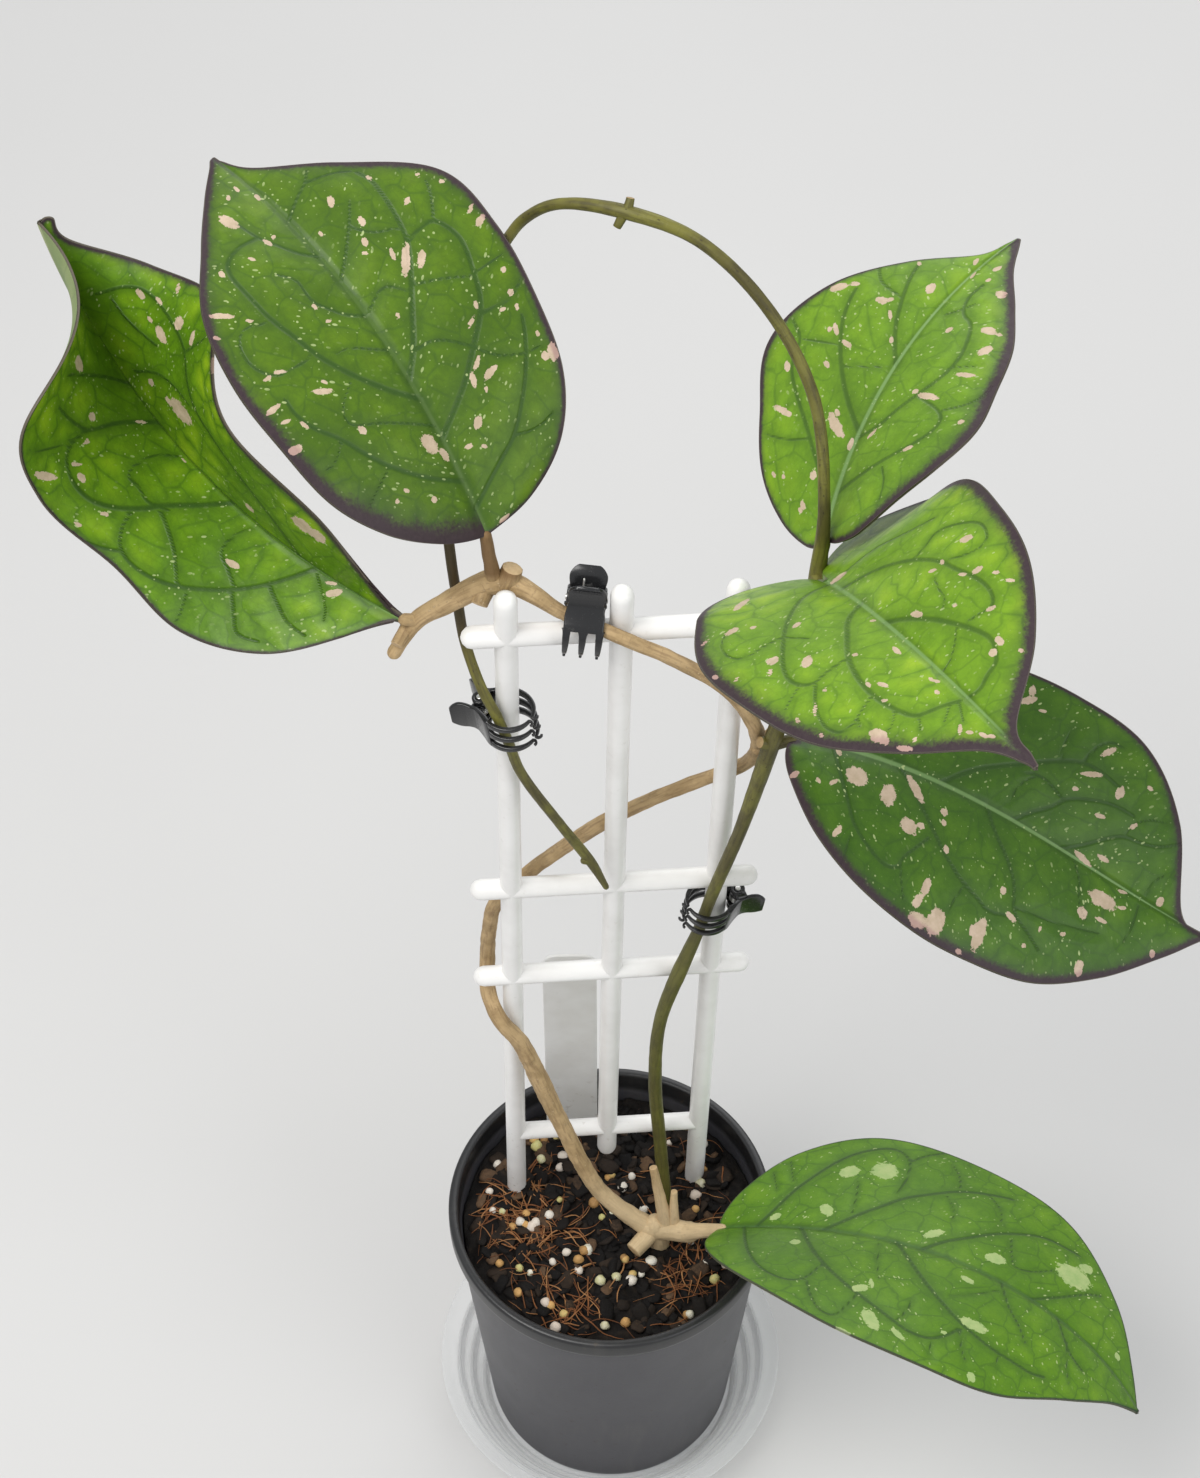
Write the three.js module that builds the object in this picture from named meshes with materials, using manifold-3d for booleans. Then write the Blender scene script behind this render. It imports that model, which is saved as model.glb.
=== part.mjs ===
// A potted hoya on a small trellis: saucer, nursery pot, potting mix, white ladder trellis,
// plain plant label, two twining stems, six large leaves and three little claw clips.
// Units are millimetres, +Z up, and -Y is the front. The origin is the centre of the
// saucer's underside, on the surface that it stands on.
import * as THREE from 'three';
import { mergeVertices } from 'three/addons/utils/BufferGeometryUtils.js';
import Module from 'manifold-3d';

const wasm = await Module();
wasm.setup();

// Driving dimensions
const clearance = 0.3;
const roundSides = 36;

const saucer = { floor: 1.3, wall: 1.1, footRadius: 37, lipRadius: 50.2, height: 13.8 };
const pot = {
  stand: 1.7, height: 96.3, rimRadius: 45, lipDepth: 6.5, lipStep: 1.4, wall: 1.4,
  baseRadius: 35.4, baseThickness: 1.8, drainHoles: 8, drainRadius: 3.2, drainCircle: 25,
};
const mix = {
  level: 88, bottom: 4.4, relief: 1.1, wallGap: 0.25, chips: 17, beads: 34, seed: 7,
  chipSize: { least: [3.5, 2.5, 2.2], extra: [4, 2, 0] }, beadSize: { least: 0.9, extra: 0.8 },
};
const trellis = {
  foot: [-2.4, 19.5, 0], turn: 4.1, leanSide: 0.014, leanFront: -0.07,
  rod: 2.65, spacing: 25.2, overhang: 10, top: 363.4, footDepth: 48, middleEnd: 107,
  rungs: { bottom: 120.9, third: 204.8, second: 245.8, top: 348.7 },
};
const label = {
  width: 14.5, thickness: 0.9, foot: [-10.7, 33.2, 62], top: 176, lean: -0.03,
  corner: 4, toeHeight: 14, toeWidth: 5.8,
};
const leafThickness = { middle: 1.1, edge: 0.75 };
const leafGrid = { rows: 20, columns: 4 };
const clip = {
  width: 8.8, tines: 3, tineWidth: 1.6, band: 1.1, gripHigh: 5.4, gripDeep: 4.9, split: 0.25,
  shoulder: 38, hinge: 7.4, waist: 2.8, waistWidth: 7.6, knuckle: 1.8, pin: 0.7, pinLength: 9.4,
  paddleTop: 13, paddleOut: 4.5, corner: 3, spring: 1.6, springLength: 2.4,
  fixedKnuckles: { spots: [-3.65, 3.65], width: 1.5 }, movingKnuckles: { spots: [-2.1, 2.1], width: 1 },
};
// Where each clip's grip is centred, which way its paddles point and how its pin runs
const clipPlaces = {
  clip_top: { centre: [-5.8, -5.9, 350], paddles: [0.1, 0.26, 0.96], pin: [0.99, -0.07, -0.08] },
  clip_left: { centre: [-22.5, -6.5, 318.8], paddles: [-0.86, 0.51, -0.07], pin: [-0.11, -0.05, 0.99] },
  clip_right: { centre: [24.4, 3.45, 233.4], paddles: [0.9, 0.43, -0.04], pin: [0.11, -0.13, 0.99] },
};

// Each leaf is drawn flat as half widths at even steps from base to tip, then bent:
// droop along its length, side bend and twist, a fold on each side of the midrib that
// goes from a start to an end angle with a bulge at the middle, and a curl of the edges.
const leaves = {
  leaf_top_left: {
    base: [-26.5, -2.5, 376], azimuth: 126, elevation: 54, roll: 4, length: 104,
    droop: [40, 19], sideBend: 7, twist: 2, lobe: 0, sweep: 0.05,
    left: { fold: [10, 10, -2], curl: 12, widths: [10.5, 21.5, 30, 33.5, 34.5, 30.5, 19.5, 9.5, 2.5] },
    right: { fold: [15, 9, 3], curl: 9, widths: [12.5, 23.5, 30.5, 33.5, 35, 33, 18, 4, 0.5] },
  },
  leaf_far_left: {
    base: [-45, -4, 350.5], azimuth: 147, elevation: 3, roll: -9, length: 125,
    droop: [-10, -60], sideBend: -24, twist: 51, lobe: -0.05, sweep: 0.25,
    left: { fold: [-8, 53, -30], curl: 6, widths: [10.5, 23, 30.5, 31.5, 40, 44.5, 29, 11.5, 1] },
    right: { fold: [80, 60, 40], curl: -4, widths: [9, 25.5, 34, 37.5, 41, 37.5, 20, 4.5, 3] },
  },
  leaf_top_right: {
    base: [46, -3, 375], azimuth: 76, elevation: 23, roll: -48, length: 87,
    droop: [36, 2], sideBend: -13, twist: 19, lobe: 0.05, sweep: -0.05,
    left: { fold: [6, 15, 12], curl: 11, widths: [7, 15.5, 23, 28, 33, 27, 15, 3.5, 1] },
    right: { fold: [8, 7, -10], curl: 16, widths: [10.5, 18, 25.5, 29.5, 27.5, 23.5, 15.5, 7, 2.5] },
  },
  leaf_front_right: {
    base: [45.4, -16, 375.1], azimuth: -77, elevation: 41, roll: 21, length: 96.2,
    droop: [37, 1], sideBend: 5, twist: 7, lobe: 0.4, sweep: -0.05,
    left: { fold: [14, 5, 12], curl: 12, widths: [13.5, 22, 29, 34, 32.5, 28, 17, 3, 1] },
    right: { fold: [20, 2, -4], curl: 10, widths: [13, 22.5, 29, 34.5, 33, 28, 17, 5, 1] },
  },
  leaf_low_right: {
    base: [41.9, -7.7, 312.8], azimuth: -9, elevation: -3, roll: -10, length: 111,
    droop: [83, -60], sideBend: -2, twist: 36, lobe: 0.05, sweep: 0.05,
    left: { fold: [7, 28, 0], curl: 1, widths: [13, 24, 31.5, 34, 34, 31, 19.5, 2, 0.5] },
    right: { fold: [0, 12, -5], curl: 20, widths: [11.5, 24.5, 33, 36.5, 35.5, 31.5, 21.5, 9.5, 1] },
  },
  leaf_base_right: {
    base: [31, -12.5, 104.5], azimuth: -12, elevation: 25, roll: -31, length: 130,
    droop: [37, 38], sideBend: 6, twist: 7, lobe: 0.05, sweep: 0.2,
    left: { fold: [22, 8, -8], curl: 5, widths: [14.5, 30.5, 41, 43.5, 41.5, 36.5, 23, 8, 0.5] },
    right: { fold: [17, 5, -9], curl: 11, widths: [17, 30, 39.5, 44.5, 44.5, 39, 23.5, 8.5, 1.5] },
  },
};

// Stem routes, chosen by hand: [x, y, z, radius] from the soil upwards.
const oldStemRoute = [
  [11, -6, 95, 3], [4.5, -5, 101, 2.5], [-3, -3, 110, 2.3], [-13.5, -1, 142.5, 2.3],
  [-18.5, -0.5, 161.5, 2.6], [-23.5, -0.5, 180, 2.2], [-28.4, -0.3, 190, 2.1], [-31.2, 4.8, 195, 2],
  [-31.3, 10.5, 201, 2], [-30.5, 10, 214.5, 1.9], [-28, 8, 230, 1.9], [-19.5, 7.5, 243, 1.8],
  [-2.5, 7.2, 262, 1.9], [9.5, 7.2, 271.5, 1.7], [21.5, 7.7, 278.5, 1.7], [31, 5.5, 287, 1.7],
  [34, -2.5, 305, 1.9], [30.5, -7, 322, 1.7], [24.5, -9, 333.5, 1.6], [13, -10.2, 344.5, 1.6],
  [6.5, -10.1, 348.5, 1.6], [2.5, -10.2, 351.2, 1.6], [-1.5, -8.6, 352.1, 1.6], [-5.5, -6.9, 352.5, 1.6],
  [-11, -5.3, 354.5, 1.6], [-15.5, -4.1, 357.6, 1.8], [-20, -2.4, 359.5, 2.5],
  [-25, -1.2, 359.5, 3], [-35, -2, 354, 2.4], [-42.5, -3, 348.5, 2], [-47.5, -5, 340.5, 1.5],
];
const greenStemRoute = [
  [15.6, 3.2, 74, 2], [15.4, 3, 92, 1.9], [14, 6, 116, 1.8], [12, 4.5, 153.5, 1.8],
  [13, 2, 185.5, 1.7], [17.5, 0.6, 209.5, 2], [22, 1.3, 226.5, 1.5], [24, 0.55, 238, 1.5],
  [26, -2.2, 251.5, 1.6],
  [30.5, -4.5, 274, 1.6], [36.5, -7.8, 311.5, 2.1], [41.5, -8.5, 341.5, 1.6], [44.2, -6.1, 366.7, 1.9],
  [44.9, -3, 385.5, 1.3], [42.5, 10, 403.5, 1.3], [33, 22, 417.5, 1.3], [18.5, 31, 428.5, 1.3],
  [3.5, 36, 432, 1.6], [-10, 42, 429, 1.2], [-17, 46, 422, 1.2], [-22, 48.8, 412.3, 1.2],
  [-29.5, 45.8, 396.5, 1.2], [-34.5, 34, 379.5, 1.2], [-36, 20, 367.5, 1.2], [-35, 9, 360, 1.2],
  [-33.5, 2.5, 350, 1.2],
  [-32, -1, 339, 1.2], [-28.6, -6.8, 330.5, 1.2], [-25.5, -8.9, 323.5, 1.2], [-23, -9.3, 314.5, 1.2],
  [-20.5, -8.8, 303, 1.2], [-11.5, -6, 279, 1.2], [-4.5, -4.6, 262.5, 1.3], [-1, -4.4, 252.5, 0.7],
];

// Small things that grow on the stems: [from, to, start radius, end radius].
const oldStemStubs = {
  collar: [[12.5, -6.5, 74], [12.5, -6.5, 97], 3.4, 3.2],
  cutStub: [[12, -6.5, 95], [6.5, -12.5, 93.5], 2.9, 2.4],
  crown: [[11, -6.5, 96], [22, -8.5, 96.5], 3.2, 3],
  brokenStub: [[15.5, -6.5, 97], [11.8, -1.5, 119], 2.3, 1.1],
  husk: [[17.5, -6.5, 97], [17.6, -3.6, 110], 1.9, 0.9],
  basePetiole: [[20.5, -8.5, 96.5], [30.2, -12.2, 103.9], 2.8, 1.6],
  loopKnuckle: [[34, -3, 304], [37.3, -2.2, 309], 1.9, 1.5],
  leafScar: [[-27, -2, 358], [-28.3, -4.6, 356], 2.2, 1.8],
  nodeStub: [[-22.4, -2, 360], [-21, -1.3, 363.8], 2.7, 2.4],
  leftPetiole: [[-25, -1.2, 360], [-26.3, -2.2, 375.2], 1.9, 1.3],
  farPetiole: [[-42, -3, 349], [-44.3, -3.9, 350], 1.7, 1.4],
  forkedEnd: [[-44.5, -3.5, 347], [-46.6, -7, 345.5], 1.6, 1.4],
};
const greenStemStubs = {
  lowPetiole: [[36.5, -7.8, 311.5], [40.9, -7.7, 312.5], 1.8, 1.3],
  lowKnob: [[36.3, -7.8, 311.5], [33.8, -8.8, 313.2], 1.9, 1.4],
  topPetiole: [[44.3, -6.1, 367], [45.6, -4.2, 373.5], 1.6, 1],
  frontPetiole: [[44.2, -6.1, 366.8], [45.2, -11.9, 367.5], 1.8, 1.5],
  frontPetioleTip: [[45.2, -11.5, 367], [45.6, -16.7, 372.9], 1.5, 1.2],
  archScarUp: [[3.5, 36, 432], [4.4, 37.4, 434.6], 1.2, 0.9],
  archScarDown: [[3, 36, 431.6], [1.6, 34.6, 429.2], 1.2, 0.9],
  tipNode: [[-5, -4.7, 263.6], [-6.2, -5.6, 264.6], 1.2, 0.9],
};

const colours = {
  leafTop: 0x4f8f1f, leafDark: 0x3c7a20, oldStem: 0xb59a68, greenStem: 0x6b6a2a,
  white: 0xf3f1ee, labelWhite: 0xebe9e4, pot: 0x2b2c2f, soil: 0x211a16, clear: 0xe8ebee,
  clipBlack: 0x141416, steel: 0xb9bcc0,
};

// Small helpers
const radians = THREE.MathUtils.degToRad;

function seeded(seed) {
  let state = seed;
  return () => {
    state = (state * 16807) % 2147483647;
    return state / 2147483647;
  };
}

function toSolid(geometry) {
  const plain = geometry.clone();
  for (const name of Object.keys(plain.attributes)) {
    if (name !== 'position') plain.deleteAttribute(name);
  }
  const merged = mergeVertices(plain, 1e-4);
  return new wasm.Manifold(new wasm.Mesh({
    numProp: 3,
    vertProperties: Float32Array.from(merged.attributes.position.array),
    triVerts: Uint32Array.from(merged.index.array),
  }));
}

function fromSolid(solid) {
  const mesh = solid.getMesh();
  const geometry = new THREE.BufferGeometry();
  geometry.setAttribute('position', new THREE.BufferAttribute(mesh.vertProperties, 3));
  geometry.setIndex(new THREE.BufferAttribute(mesh.triVerts, 1));
  geometry.computeVertexNormals();
  return geometry;
}

function join(geometries) {
  return geometries.map(toSolid).reduce((whole, piece) => whole.add(piece));
}

function piece(name, geometry, colour, roughness, extra = {}) {
  const material = new THREE.MeshStandardMaterial({ color: colour, roughness, metalness: 0, ...extra });
  const mesh = new THREE.Mesh(geometry, material);
  mesh.name = name;
  return mesh;
}

function extruded(outline, depth, curveSegments) {
  return new THREE.ExtrudeGeometry(outline, { depth, bevelEnabled: false, curveSegments });
}

// A round body turned about Z from a closed profile of [radius, height] points
function turned(profile, sides = roundSides) {
  const points = profile.map(([radius, height]) => new THREE.Vector2(radius, height));
  return new THREE.LatheGeometry(points, sides).rotateX(Math.PI / 2);
}

function rodBetween(from, to, startRadius, endRadius, sides = 8, rings = 1) {
  const start = new THREE.Vector3(...from);
  const end = new THREE.Vector3(...to);
  const along = end.clone().sub(start);
  const rod = new THREE.CylinderGeometry(endRadius, startRadius, along.length(), sides, rings);
  rod.translate(0, along.length() / 2, 0);
  const turn = new THREE.Quaternion().setFromUnitVectors(new THREE.Vector3(0, 1, 0), along.normalize());
  return rod.applyQuaternion(turn).translate(start.x, start.y, start.z);
}

// A tapering stem: a cylinder whose rings are carried along a smooth curve
function stemAlong(route, sides, stepLength) {
  const points = route.map(([x, y, z]) => new THREE.Vector3(x, y, z));
  const curve = new THREE.CatmullRomCurve3(points, false, 'centripetal');
  const steps = Math.round(curve.getLength() / stepLength);
  const frames = curve.computeFrenetFrames(steps, false);
  const stem = new THREE.CylinderGeometry(1, 1, 1, sides, steps);
  const position = stem.attributes.position;
  for (let i = 0; i < position.count; i += 1) {
    const ring = Math.round((position.getY(i) + 0.5) * steps);
    const centre = curve.getPointAt(ring / steps);
    const place = curve.getUtoTmapping(ring / steps) * (route.length - 1);
    const before = Math.min(Math.floor(place), route.length - 2);
    const radius = THREE.MathUtils.lerp(route[before][3], route[before + 1][3], place - before);
    centre.addScaledVector(frames.normals[ring], position.getX(i) * radius);
    centre.addScaledVector(frames.binormals[ring], -position.getZ(i) * radius);
    position.setXYZ(i, centre.x, centre.y, centre.z);
  }
  return stem;
}

// Leaves
function halfWidth(widths, step) {
  const heights = [0.9, ...widths, 0.45];
  const outline = new THREE.SplineCurve(heights.map((width, i) => new THREE.Vector2(i, width)));
  return Math.max(outline.getPoint(step).y, 0.4);
}

function leafMidrib(leaf) {
  const steps = 120;
  const points = [new THREE.Vector3()];
  for (let i = 0; i < steps; i += 1) {
    const direction = leafDirection(leaf, (i + 0.5) / steps);
    points.push(points[i].clone().addScaledVector(direction, leaf.length / steps));
  }
  return (part) => {
    const place = THREE.MathUtils.clamp(part, 0, 1) * steps;
    const before = Math.min(Math.floor(place), steps - 1);
    return points[before].clone().lerp(points[before + 1], place - before);
  };
}

function leafDirection(leaf, part) {
  const pitch = -radians(leaf.droop[0] * part + leaf.droop[1] * part * part);
  const yaw = radians(leaf.sideBend * part);
  return new THREE.Vector3(Math.cos(pitch) * Math.cos(yaw), Math.cos(pitch) * Math.sin(yaw), Math.sin(pitch));
}

// How far a side reaches outwards and upwards for a unit width, out to the share given
function sideReach(side, part, share) {
  const [start, end, bulge] = side.fold;
  const fold = radians(start + (end - start) * part + bulge * 4 * part * (1 - part));
  const curl = radians(side.curl);
  if (Math.abs(curl) < 1e-3) return [share * Math.cos(fold), share * Math.sin(fold)];
  const out = (Math.sin(fold) - Math.sin(fold - curl * share)) / curl;
  const up = (Math.cos(fold - curl * share) - Math.cos(fold)) / curl;
  return [out, up];
}

function leafPoint(leaf, midrib, step, across) {
  const share = Math.abs(across);
  const side = across >= 0 ? leaf.left : leaf.right;
  const width = halfWidth(side.widths, step);
  const backwards = 2.4 * leaf.lobe * (1 - step) ** 3 * Math.sqrt(step) * share;
  const forwards = 0.3 * leaf.sweep * Math.sin(Math.PI * step) * share;
  const part = (1 - Math.cos(Math.PI * step)) / 2 - backwards + forwards;
  const held = THREE.MathUtils.clamp(part, 0, 1);
  const direction = leafDirection(leaf, held);
  const yaw = radians(leaf.sideBend * held);
  const level = new THREE.Vector3(-Math.sin(yaw), Math.cos(yaw), 0);
  const rise = new THREE.Vector3().crossVectors(direction, level);
  const twist = radians(leaf.twist * held);
  const outward = level.clone().multiplyScalar(Math.cos(twist)).addScaledVector(rise, Math.sin(twist));
  const upward = rise.clone().multiplyScalar(Math.cos(twist)).addScaledVector(level, -Math.sin(twist));
  const [out, up] = sideReach(side, held, share);
  return midrib(held)
    .addScaledVector(direction, (part - held) * leaf.length)
    .addScaledVector(outward, Math.sign(across) * width * out)
    .addScaledVector(upward, width * up);
}

// A closed blade: the same grid of triangles on the upper and the lower face
function leafBlade(leaf) {
  const midrib = leafMidrib(leaf);
  const { rows, columns } = leafGrid;
  const wide = 2 * columns + 1;
  const middle = [];
  for (let row = 0; row <= rows; row += 1) {
    for (let column = -columns; column <= columns; column += 1) {
      middle.push(leafPoint(leaf, midrib, row / rows, column / columns));
    }
  }
  const at = (row, column) => middle[row * wide + column];
  const upper = [];
  const lower = [];
  for (let row = 0; row <= rows; row += 1) {
    for (let column = 0; column < wide; column += 1) {
      const along = at(Math.min(row + 1, rows), column).clone().sub(at(Math.max(row - 1, 0), column));
      const over = at(row, Math.min(column + 1, wide - 1)).clone().sub(at(row, Math.max(column - 1, 0)));
      const normal = along.cross(over).normalize();
      const edge = Math.abs(column - columns) / columns;
      const thickness = THREE.MathUtils.lerp(leafThickness.middle, leafThickness.edge, edge ** 2) / 2;
      upper.push(at(row, column).clone().addScaledVector(normal, thickness));
      lower.push(at(row, column).clone().addScaledVector(normal, -thickness));
    }
  }
  const points = [...upper, ...lower];
  const under = upper.length;
  const index = [];
  const quad = (a, b, c, d) => index.push(a, b, c, a, c, d);
  for (let row = 0; row < rows; row += 1) {
    for (let column = 0; column < wide - 1; column += 1) {
      const corner = row * wide + column;
      index.push(corner, corner + wide, corner + wide + 1, corner, corner + wide + 1, corner + 1);
      const deep = corner + under;
      index.push(deep, deep + wide + 1, deep + wide, deep, deep + 1, deep + wide + 1);
    }
    const start = row * wide;
    const end = start + wide - 1;
    quad(start, start + under, start + under + wide, start + wide);
    quad(end, end + wide, end + wide + under, end + under);
  }
  for (let column = 0; column < wide - 1; column += 1) {
    const last = rows * wide + column;
    quad(column, column + 1, column + 1 + under, column + under);
    quad(last, last + under, last + under + 1, last + 1);
  }
  const geometry = new THREE.BufferGeometry().setFromPoints(points);
  geometry.setIndex(index);
  return geometry;
}

function placedLeaf(name, leaf, colour) {
  const blade = leafBlade(leaf);
  const mesh = piece(name, blade, colour, 0.42);
  mesh.rotation.set(radians(leaf.roll), radians(-leaf.elevation), radians(leaf.azimuth), 'ZYX');
  mesh.position.set(...leaf.base);
  blade.computeVertexNormals();
  return mesh;
}

// Stems
function stemPiece(name, route, stubs, colour, sides) {
  const grown = Object.values(stubs).map(([from, to, start, end]) => rodBetween(from, to, start, end));
  const solid = join([stemAlong(route, sides, 8), ...grown]);
  return piece(name, fromSolid(solid), colour, 0.7);
}

// Pot and saucer
function saucerPiece() {
  const { floor, wall, footRadius, lipRadius, height } = saucer;
  const steps = [[footRadius + 2.6, 4], [footRadius + 6.2, 8.2], [footRadius + 9.8, height - wall]];
  const profile = [[0, 0], [footRadius, 0]];
  for (const [radius, level] of steps) {
    profile.push([radius - 1.2, level - wall]);
    profile.push([radius + 1.2, level - wall]);
  }
  profile.push([lipRadius, height - wall], [lipRadius, height]);
  for (const [radius, level] of [...steps].reverse()) {
    profile.push([radius + 0.3, level]);
    profile.push([radius - 2.1, level]);
  }
  profile.push([footRadius - 0.9, floor], [0, floor]);
  return piece('saucer', turned(profile), colours.clear, 0.15, { transparent: true, opacity: 0.4 });
}

function potRadius(height) {
  const share = height / pot.height;
  return THREE.MathUtils.lerp(pot.baseRadius, pot.rimRadius - pot.lipStep, share);
}

function potPiece() {
  const { stand, height, rimRadius, lipDepth, wall, baseThickness } = pot;
  const lipFoot = height - lipDepth;
  const footRing = 2.2;
  const profile = [
    [0, footRing], [pot.baseRadius - 4, footRing], [pot.baseRadius - 3.4, 0], [pot.baseRadius - 0.6, 0],
    [potRadius(1), 1], [potRadius(lipFoot), lipFoot], [rimRadius - 0.3, lipFoot + 0.7],
    [rimRadius, lipFoot + 1.6], [rimRadius, height - 0.8], [rimRadius - 0.7, height],
    [rimRadius - 2, height], [rimRadius - 2.6, height - 0.8], [potRadius(lipFoot) - wall, lipFoot - 1],
    [potRadius(6) - wall, 6], [potRadius(4) - wall - 2, footRing + baseThickness],
    [0, footRing + baseThickness],
  ];
  const holes = [];
  for (let i = 0; i < pot.drainHoles; i += 1) {
    const angle = (2 * Math.PI * (i + 0.5)) / pot.drainHoles;
    const x = pot.drainCircle * Math.cos(angle);
    const y = pot.drainCircle * Math.sin(angle);
    holes.push(rodBetween([x, y, -1], [x, y, 8], pot.drainRadius, pot.drainRadius, 10));
  }
  const body = holes.map(toSolid).reduce((rest, hole) => rest.subtract(hole), toSolid(turned(profile)));
  const mesh = piece('pot', fromSolid(body), colours.pot, 0.45);
  mesh.position.z = stand;
  return mesh;
}

// Potting mix with bark chips and pale beads grown out of its surface
function mixRelief(x, y) {
  const wave = Math.sin(x * 0.31 + 1.3) * Math.cos(y * 0.27 - 0.6) + 0.6 * Math.sin(x * 0.71 - y * 0.53);
  return mix.relief * wave * 0.8;
}

function mixPiece(holes) {
  const wallGap = pot.wall + clearance + mix.wallGap;
  const bottom = pot.stand + mix.bottom;
  const edge = potRadius(mix.level - pot.stand) - wallGap;
  const rings = 7;
  const profile = [
    [0, bottom], [potRadius(6) - wallGap - 3, bottom],
    [potRadius(8) - wallGap, bottom + 4], [edge, mix.level - 1.5],
  ];
  for (let ring = 0; ring <= rings; ring += 1) {
    profile.push([(edge - 0.6) * (1 - ring / rings), mix.level]);
  }
  const bulk = turned(profile, 32);
  const position = bulk.attributes.position;
  for (let i = 0; i < position.count; i += 1) {
    if (position.getZ(i) > mix.level - 0.1) {
      position.setZ(i, mix.level + mixRelief(position.getX(i), position.getY(i)));
    }
  }
  const draw = seeded(mix.seed);
  const scattered = [];
  const spot = () => {
    const angle = 2 * Math.PI * draw();
    const radius = (edge - 4.5) * Math.sqrt(draw());
    return [radius * Math.cos(angle), radius * Math.sin(angle)];
  };
  for (let i = 0; i < mix.chips; i += 1) {
    const [x, y] = spot();
    const { least, extra } = mix.chipSize;
    const [length, breadth] = [least[0] + extra[0] * draw(), least[1] + extra[1] * draw()];
    const chip = new THREE.BoxGeometry(length, breadth, least[2]);
    chip.rotateX(0.5 * (draw() - 0.5)).rotateY(0.6 * (draw() - 0.5)).rotateZ(Math.PI * draw());
    scattered.push(chip.translate(x, y, mix.level + mixRelief(x, y) - 0.1));
  }
  for (let i = 0; i < mix.beads; i += 1) {
    const [x, y] = spot();
    const radius = mix.beadSize.least + mix.beadSize.extra * draw();
    const bead = new THREE.IcosahedronGeometry(radius, 0).rotateZ(Math.PI * draw());
    scattered.push(bead.translate(x, y, mix.level + mixRelief(x, y) + 0.25 * radius));
  }
  const grown = scattered.map(toSolid).reduce((whole, item) => whole.add(item), toSolid(bulk));
  const drilled = holes.map(toSolid).reduce((rest, hole) => rest.subtract(hole), grown);
  // A crumb that a hole cuts off is left out
  const whole = drilled.decompose().sort((a, b) => b.volume() - a.volume())[0];
  return piece('potting_mix', fromSolid(whole), colours.soil, 0.95);
}

// Trellis, in its own upright frame
function capsule(from, to, radius) {
  const start = new THREE.Vector3(...from);
  const end = new THREE.Vector3(...to);
  const along = end.clone().sub(start);
  const rod = new THREE.CapsuleGeometry(radius, along.length() - 2 * radius, 3, 10);
  const upright = new THREE.Vector3(0, 1, 0);
  const turn = new THREE.Quaternion().setFromUnitVectors(upright, along.normalize());
  const middle = start.add(end).multiplyScalar(0.5);
  return rod.applyQuaternion(turn).translate(middle.x, middle.y, middle.z);
}

function trellisMatrix() {
  const up = new THREE.Vector3(trellis.leanSide, trellis.leanFront, 1).normalize();
  const turn = radians(trellis.turn);
  const across = new THREE.Vector3(Math.cos(turn), Math.sin(turn), 0);
  across.addScaledVector(up, -across.dot(up)).normalize();
  const back = new THREE.Vector3().crossVectors(up, across);
  return new THREE.Matrix4().makeBasis(across, back, up).setPosition(...trellis.foot);
}

function trellisPiece() {
  const { rod, spacing, overhang, top, footDepth, middleEnd, rungs } = trellis;
  const rods = [
    capsule([-spacing, 0, footDepth], [-spacing, 0, top], rod),
    capsule([0, 0, middleEnd], [0, 0, top], rod),
    capsule([spacing, 0, footDepth], [spacing, 0, top], rod),
    capsule([-spacing - rod * 0.6, 0, rungs.bottom], [spacing + rod * 0.6, 0, rungs.bottom], rod * 0.92),
  ];
  for (const height of [rungs.third, rungs.second, rungs.top]) {
    rods.push(capsule([-spacing - overhang, 0, height], [spacing + overhang, 0, height], rod));
  }
  const mesh = piece('trellis', fromSolid(join(rods)), colours.white, 0.35);
  mesh.applyMatrix4(trellisMatrix());
  return mesh;
}

// Label: a flat strip with a round top, standing in the mix behind the trellis
function labelPiece() {
  const { width, thickness, foot, top, lean, corner, toeHeight, toeWidth } = label;
  const length = top - foot[2];
  const outline = new THREE.Shape();
  outline.moveTo(-toeWidth / 2, 0);
  outline.lineTo(toeWidth / 2, 0);
  outline.lineTo(width / 2, toeHeight);
  outline.lineTo(width / 2, length - corner);
  outline.absarc(width / 2 - corner, length - corner, corner, 0, Math.PI / 2);
  outline.absarc(corner - width / 2, length - corner, corner, Math.PI / 2, Math.PI);
  outline.lineTo(-width / 2, toeHeight);
  outline.closePath();
  const strip = extruded(outline, thickness, 6);
  strip.rotateX(Math.PI / 2);
  const mesh = piece('plant_label', fromSolid(toSolid(strip)), colours.labelWhite, 0.4);
  mesh.rotation.x = -lean;
  mesh.position.set(...foot);
  return mesh;
}

// Claw clips: two jaws on a pin with a torsion spring. The grip is an oval about the
// clip's own origin, the hinge pin runs along X and the paddles point to +Z.
function bandShape(line, half) {
  const left = [];
  const right = [];
  line.forEach(([y, z], i) => {
    const [y0, z0] = line[Math.max(i - 1, 0)];
    const [y1, z1] = line[Math.min(i + 1, line.length - 1)];
    const length = Math.hypot(y1 - y0, z1 - z0);
    const normalY = (half * (z1 - z0)) / length;
    const normalZ = (-half * (y1 - y0)) / length;
    left.push(new THREE.Vector2(y + normalY, z + normalZ));
    right.push(new THREE.Vector2(y - normalY, z - normalZ));
  });
  return new THREE.Shape([...left, ...right.reverse()]);
}

// A slab with its outline in YZ, centred on x, of the given width
function slab(shape, x, width) {
  const body = extruded(shape, width, 6);
  body.translate(0, 0, -width / 2);
  body.applyMatrix4(new THREE.Matrix4().set(0, 0, 1, x, 1, 0, 0, 0, 0, 1, 0, 0, 0, 0, 0, 1));
  return body;
}

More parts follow.
